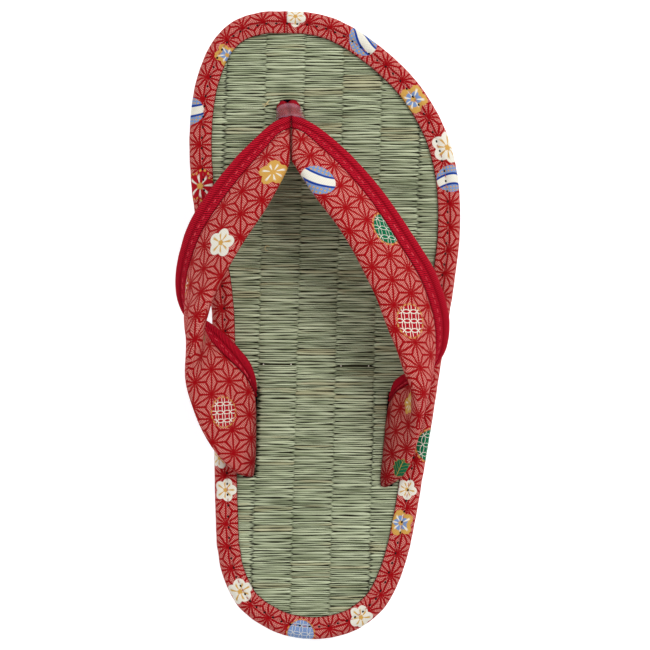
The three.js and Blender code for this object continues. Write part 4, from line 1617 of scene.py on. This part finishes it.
@dataclass
class Studio:
    """A white floor, soft daylight and the camera straight above the sandal."""

    camera_height: float = 1.0
    plane: float = 0.014
    view_width: float = 0.19695
    sensor: float = 36.0
    world: float = 0.56
    glow: float = 0.56
    floor_size: float = 2.0
    # area lights in metres and watts: name, place, size, power
    lamps: tuple = (("key", (0.55, 0.5, 0.9), 0.5, 7.0), ("fill", (-0.6, 0.1, 0.9), 0.9, 1.9))

    def place(self, name: str, data: bpy.types.ID) -> Object:
        """Puts a new object of the stage into the scene."""
        thing = bpy.data.objects.new(name, data)
        bpy.context.scene.collection.objects.link(thing)
        return thing

    def build(self, paper: Material) -> None:
        """Sets the camera, the lights and the floor."""
        scene = bpy.context.scene
        camera = self.place("camera", bpy.data.cameras.new("camera"))
        camera.data.sensor_width = self.sensor
        camera.data.lens = self.sensor * self.camera_height / self.view_width
        camera.data.clip_start, camera.data.clip_end = 0.01, 20.0
        camera.location = (0, 0, self.camera_height + self.plane)
        scene.camera = camera
        scene.world = bpy.data.worlds.new("daylight")
        scene.world.use_nodes = True
        sky = scene.world.node_tree.nodes["Background"].inputs
        sky["Color"].default_value = (1, 1, 1, 1)
        sky["Strength"].default_value = self.world
        for name, at, size, power in self.lamps:
            light = bpy.data.lights.new(name, "AREA")
            light.size, light.energy = size, power
            lamp = self.place(name, light)
            lamp.location = at
            lamp.rotation_euler = (-Vector(at)).to_track_quat("-Z", "Y").to_euler()
        scene.view_settings.view_transform = "Standard"
        bm = bmesh.new()
        bmesh.ops.create_grid(bm, x_segments=1, y_segments=1, size=self.floor_size)
        mesh = bpy.data.meshes.new("floor")
        bm.to_mesh(mesh)
        bm.free()
        floor = self.place("floor", mesh)
        shine = paper.node_tree.nodes["Principled BSDF"].inputs
        shine["Emission Color"].default_value = (1, 1, 1, 1)
        shine["Emission Strength"].default_value = self.glow
        mesh.materials.append(paper)


# Motifs by where they lie seen from above, in millimetres
INNER_SPOTS = (
    Spot(Motif.GOLD_BLOSSOM, -15.7, 45.6, 20, 1.0, 1.1),
    Spot(Motif.WHITE_BLOSSOM, -30.5, 24.5, 0, 1.05),
    Spot(Motif.RED_BLOSSOM, -42.8, 11.5, 10, 0.8),
    Spot(Motif.RED_BALL, -30.0, -26.4, 0, 0.86, 0.86),
    Spot(Motif.LEAF, -35.9, -4.2, 10, 0.36, 0.5),
)
OUTER_SPOTS = (
    Spot(Motif.BANDED_BALL, -2.0, 43.6, -30, 0.95),
    Spot(Motif.GREEN_BALL, 18.3, 28.6, 0, 0.98),
    Spot(Motif.RED_BALL, 25.6, 1.2, 0, 0.95, 0.9),
    Spot(Motif.GOLD_BLOSSOM, 24.8, -23.5, 0, 0.8),
    Spot(Motif.LEAF, 22.7, -43.0, 20, 1.05),
)
BINDING_SPOTS = (
    Spot(Motif.WHITE_BLOSSOM, -8.6, 93.2, 0, 0.85),
    Spot(Motif.BANDED_BALL, 11.2, 86.3, 60, 0.9),
    Spot(Motif.BLUE_BLOSSOM, 26.7, 68.5, 0, 1.15),
    Spot(Motif.WHITE_BLOSSOM, 37.2, 54.0, 30, 1.35, 0.9),
    Spot(Motif.BANDED_BALL, 38.4, 44.6, 0, 0.85),
    Spot(Motif.GREEN_BALL, 31.2, -36.4, 0, 0.98),
    Spot(Motif.BLUE_BLOSSOM, 22.8, -60.0, 0, 1.0),
    Spot(Motif.WHITE_BLOSSOM, 24.8, -50.0, 30, 0.8),
    Spot(Motif.WHITE_BLOSSOM, 11.0, -88.0, 20, 1.0),
    Spot(Motif.BLUE_BALL, -7.5, -93.0, 90, 0.85),
    Spot(Motif.WHITE_BLOSSOM, -25.5, -80.5, 0, 1.1),
    Spot(Motif.WHITE_BLOSSOM, -30.0, -50.0, 0, 0.9),
    Spot(Motif.WHITE_BLOSSOM, -32.0, -40.5, 0, 0.8),
    Spot(Motif.RED_BLOSSOM, -37.7, 41.8, 0, 1.3),
    Spot(Motif.BANDED_BALL, -40.5, 65.0, 0, 0.85),
    Spot(Motif.BLUE_BLOSSOM, -29.6, 81.4, 0, 1.0),
)


def main() -> None:
    """Builds the sandal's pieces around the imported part."""
    logging.basicConfig(level=logging.INFO, format="%(name)s: %(message)s")
    plain = {finish.name: finish.material() for finish in PLAIN}
    Studio().build(plain["floor_paper"])
    cotton = PrintedCotton().material()
    twill = RedTwill().material()
    inner = StrapBand("inner", INNER_BAND, False, INNER_SPOTS, (1.23, 2.93), 2.5)
    outer = StrapBand("outer", OUTER_BAND, True, OUTER_SPOTS, (0.38, 4.08), -15.0)
    post = ToePost()
    mat = RushMat((inner.slot_loop(), outer.slot_loop(), post.hole_loop()))
    made = mat.build(RushStems().material(), plain["board_core_painted_shade"], plain["warp_thread"],
                     plain["rush_fibre"])
    made += EdgeBinding(BINDING_SPOTS).build(cotton, plain["binding_thread_pink"],
                                             plain["needle_hole_shade"])
    for band in (inner, outer):
        made += band.build(cotton, twill, plain["piping_thread"], plain["pale_thread"])
    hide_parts("upper_straps")
    made += post.build(twill, ClearVinyl().material())
    made += SoleLayers().build(plain["sponge"], plain["sole_sheet"])
    for piece in made:
        log.info("%s: %d faces", piece.name, len(piece.data.polygons))


if __name__ == "__main__":
    main()
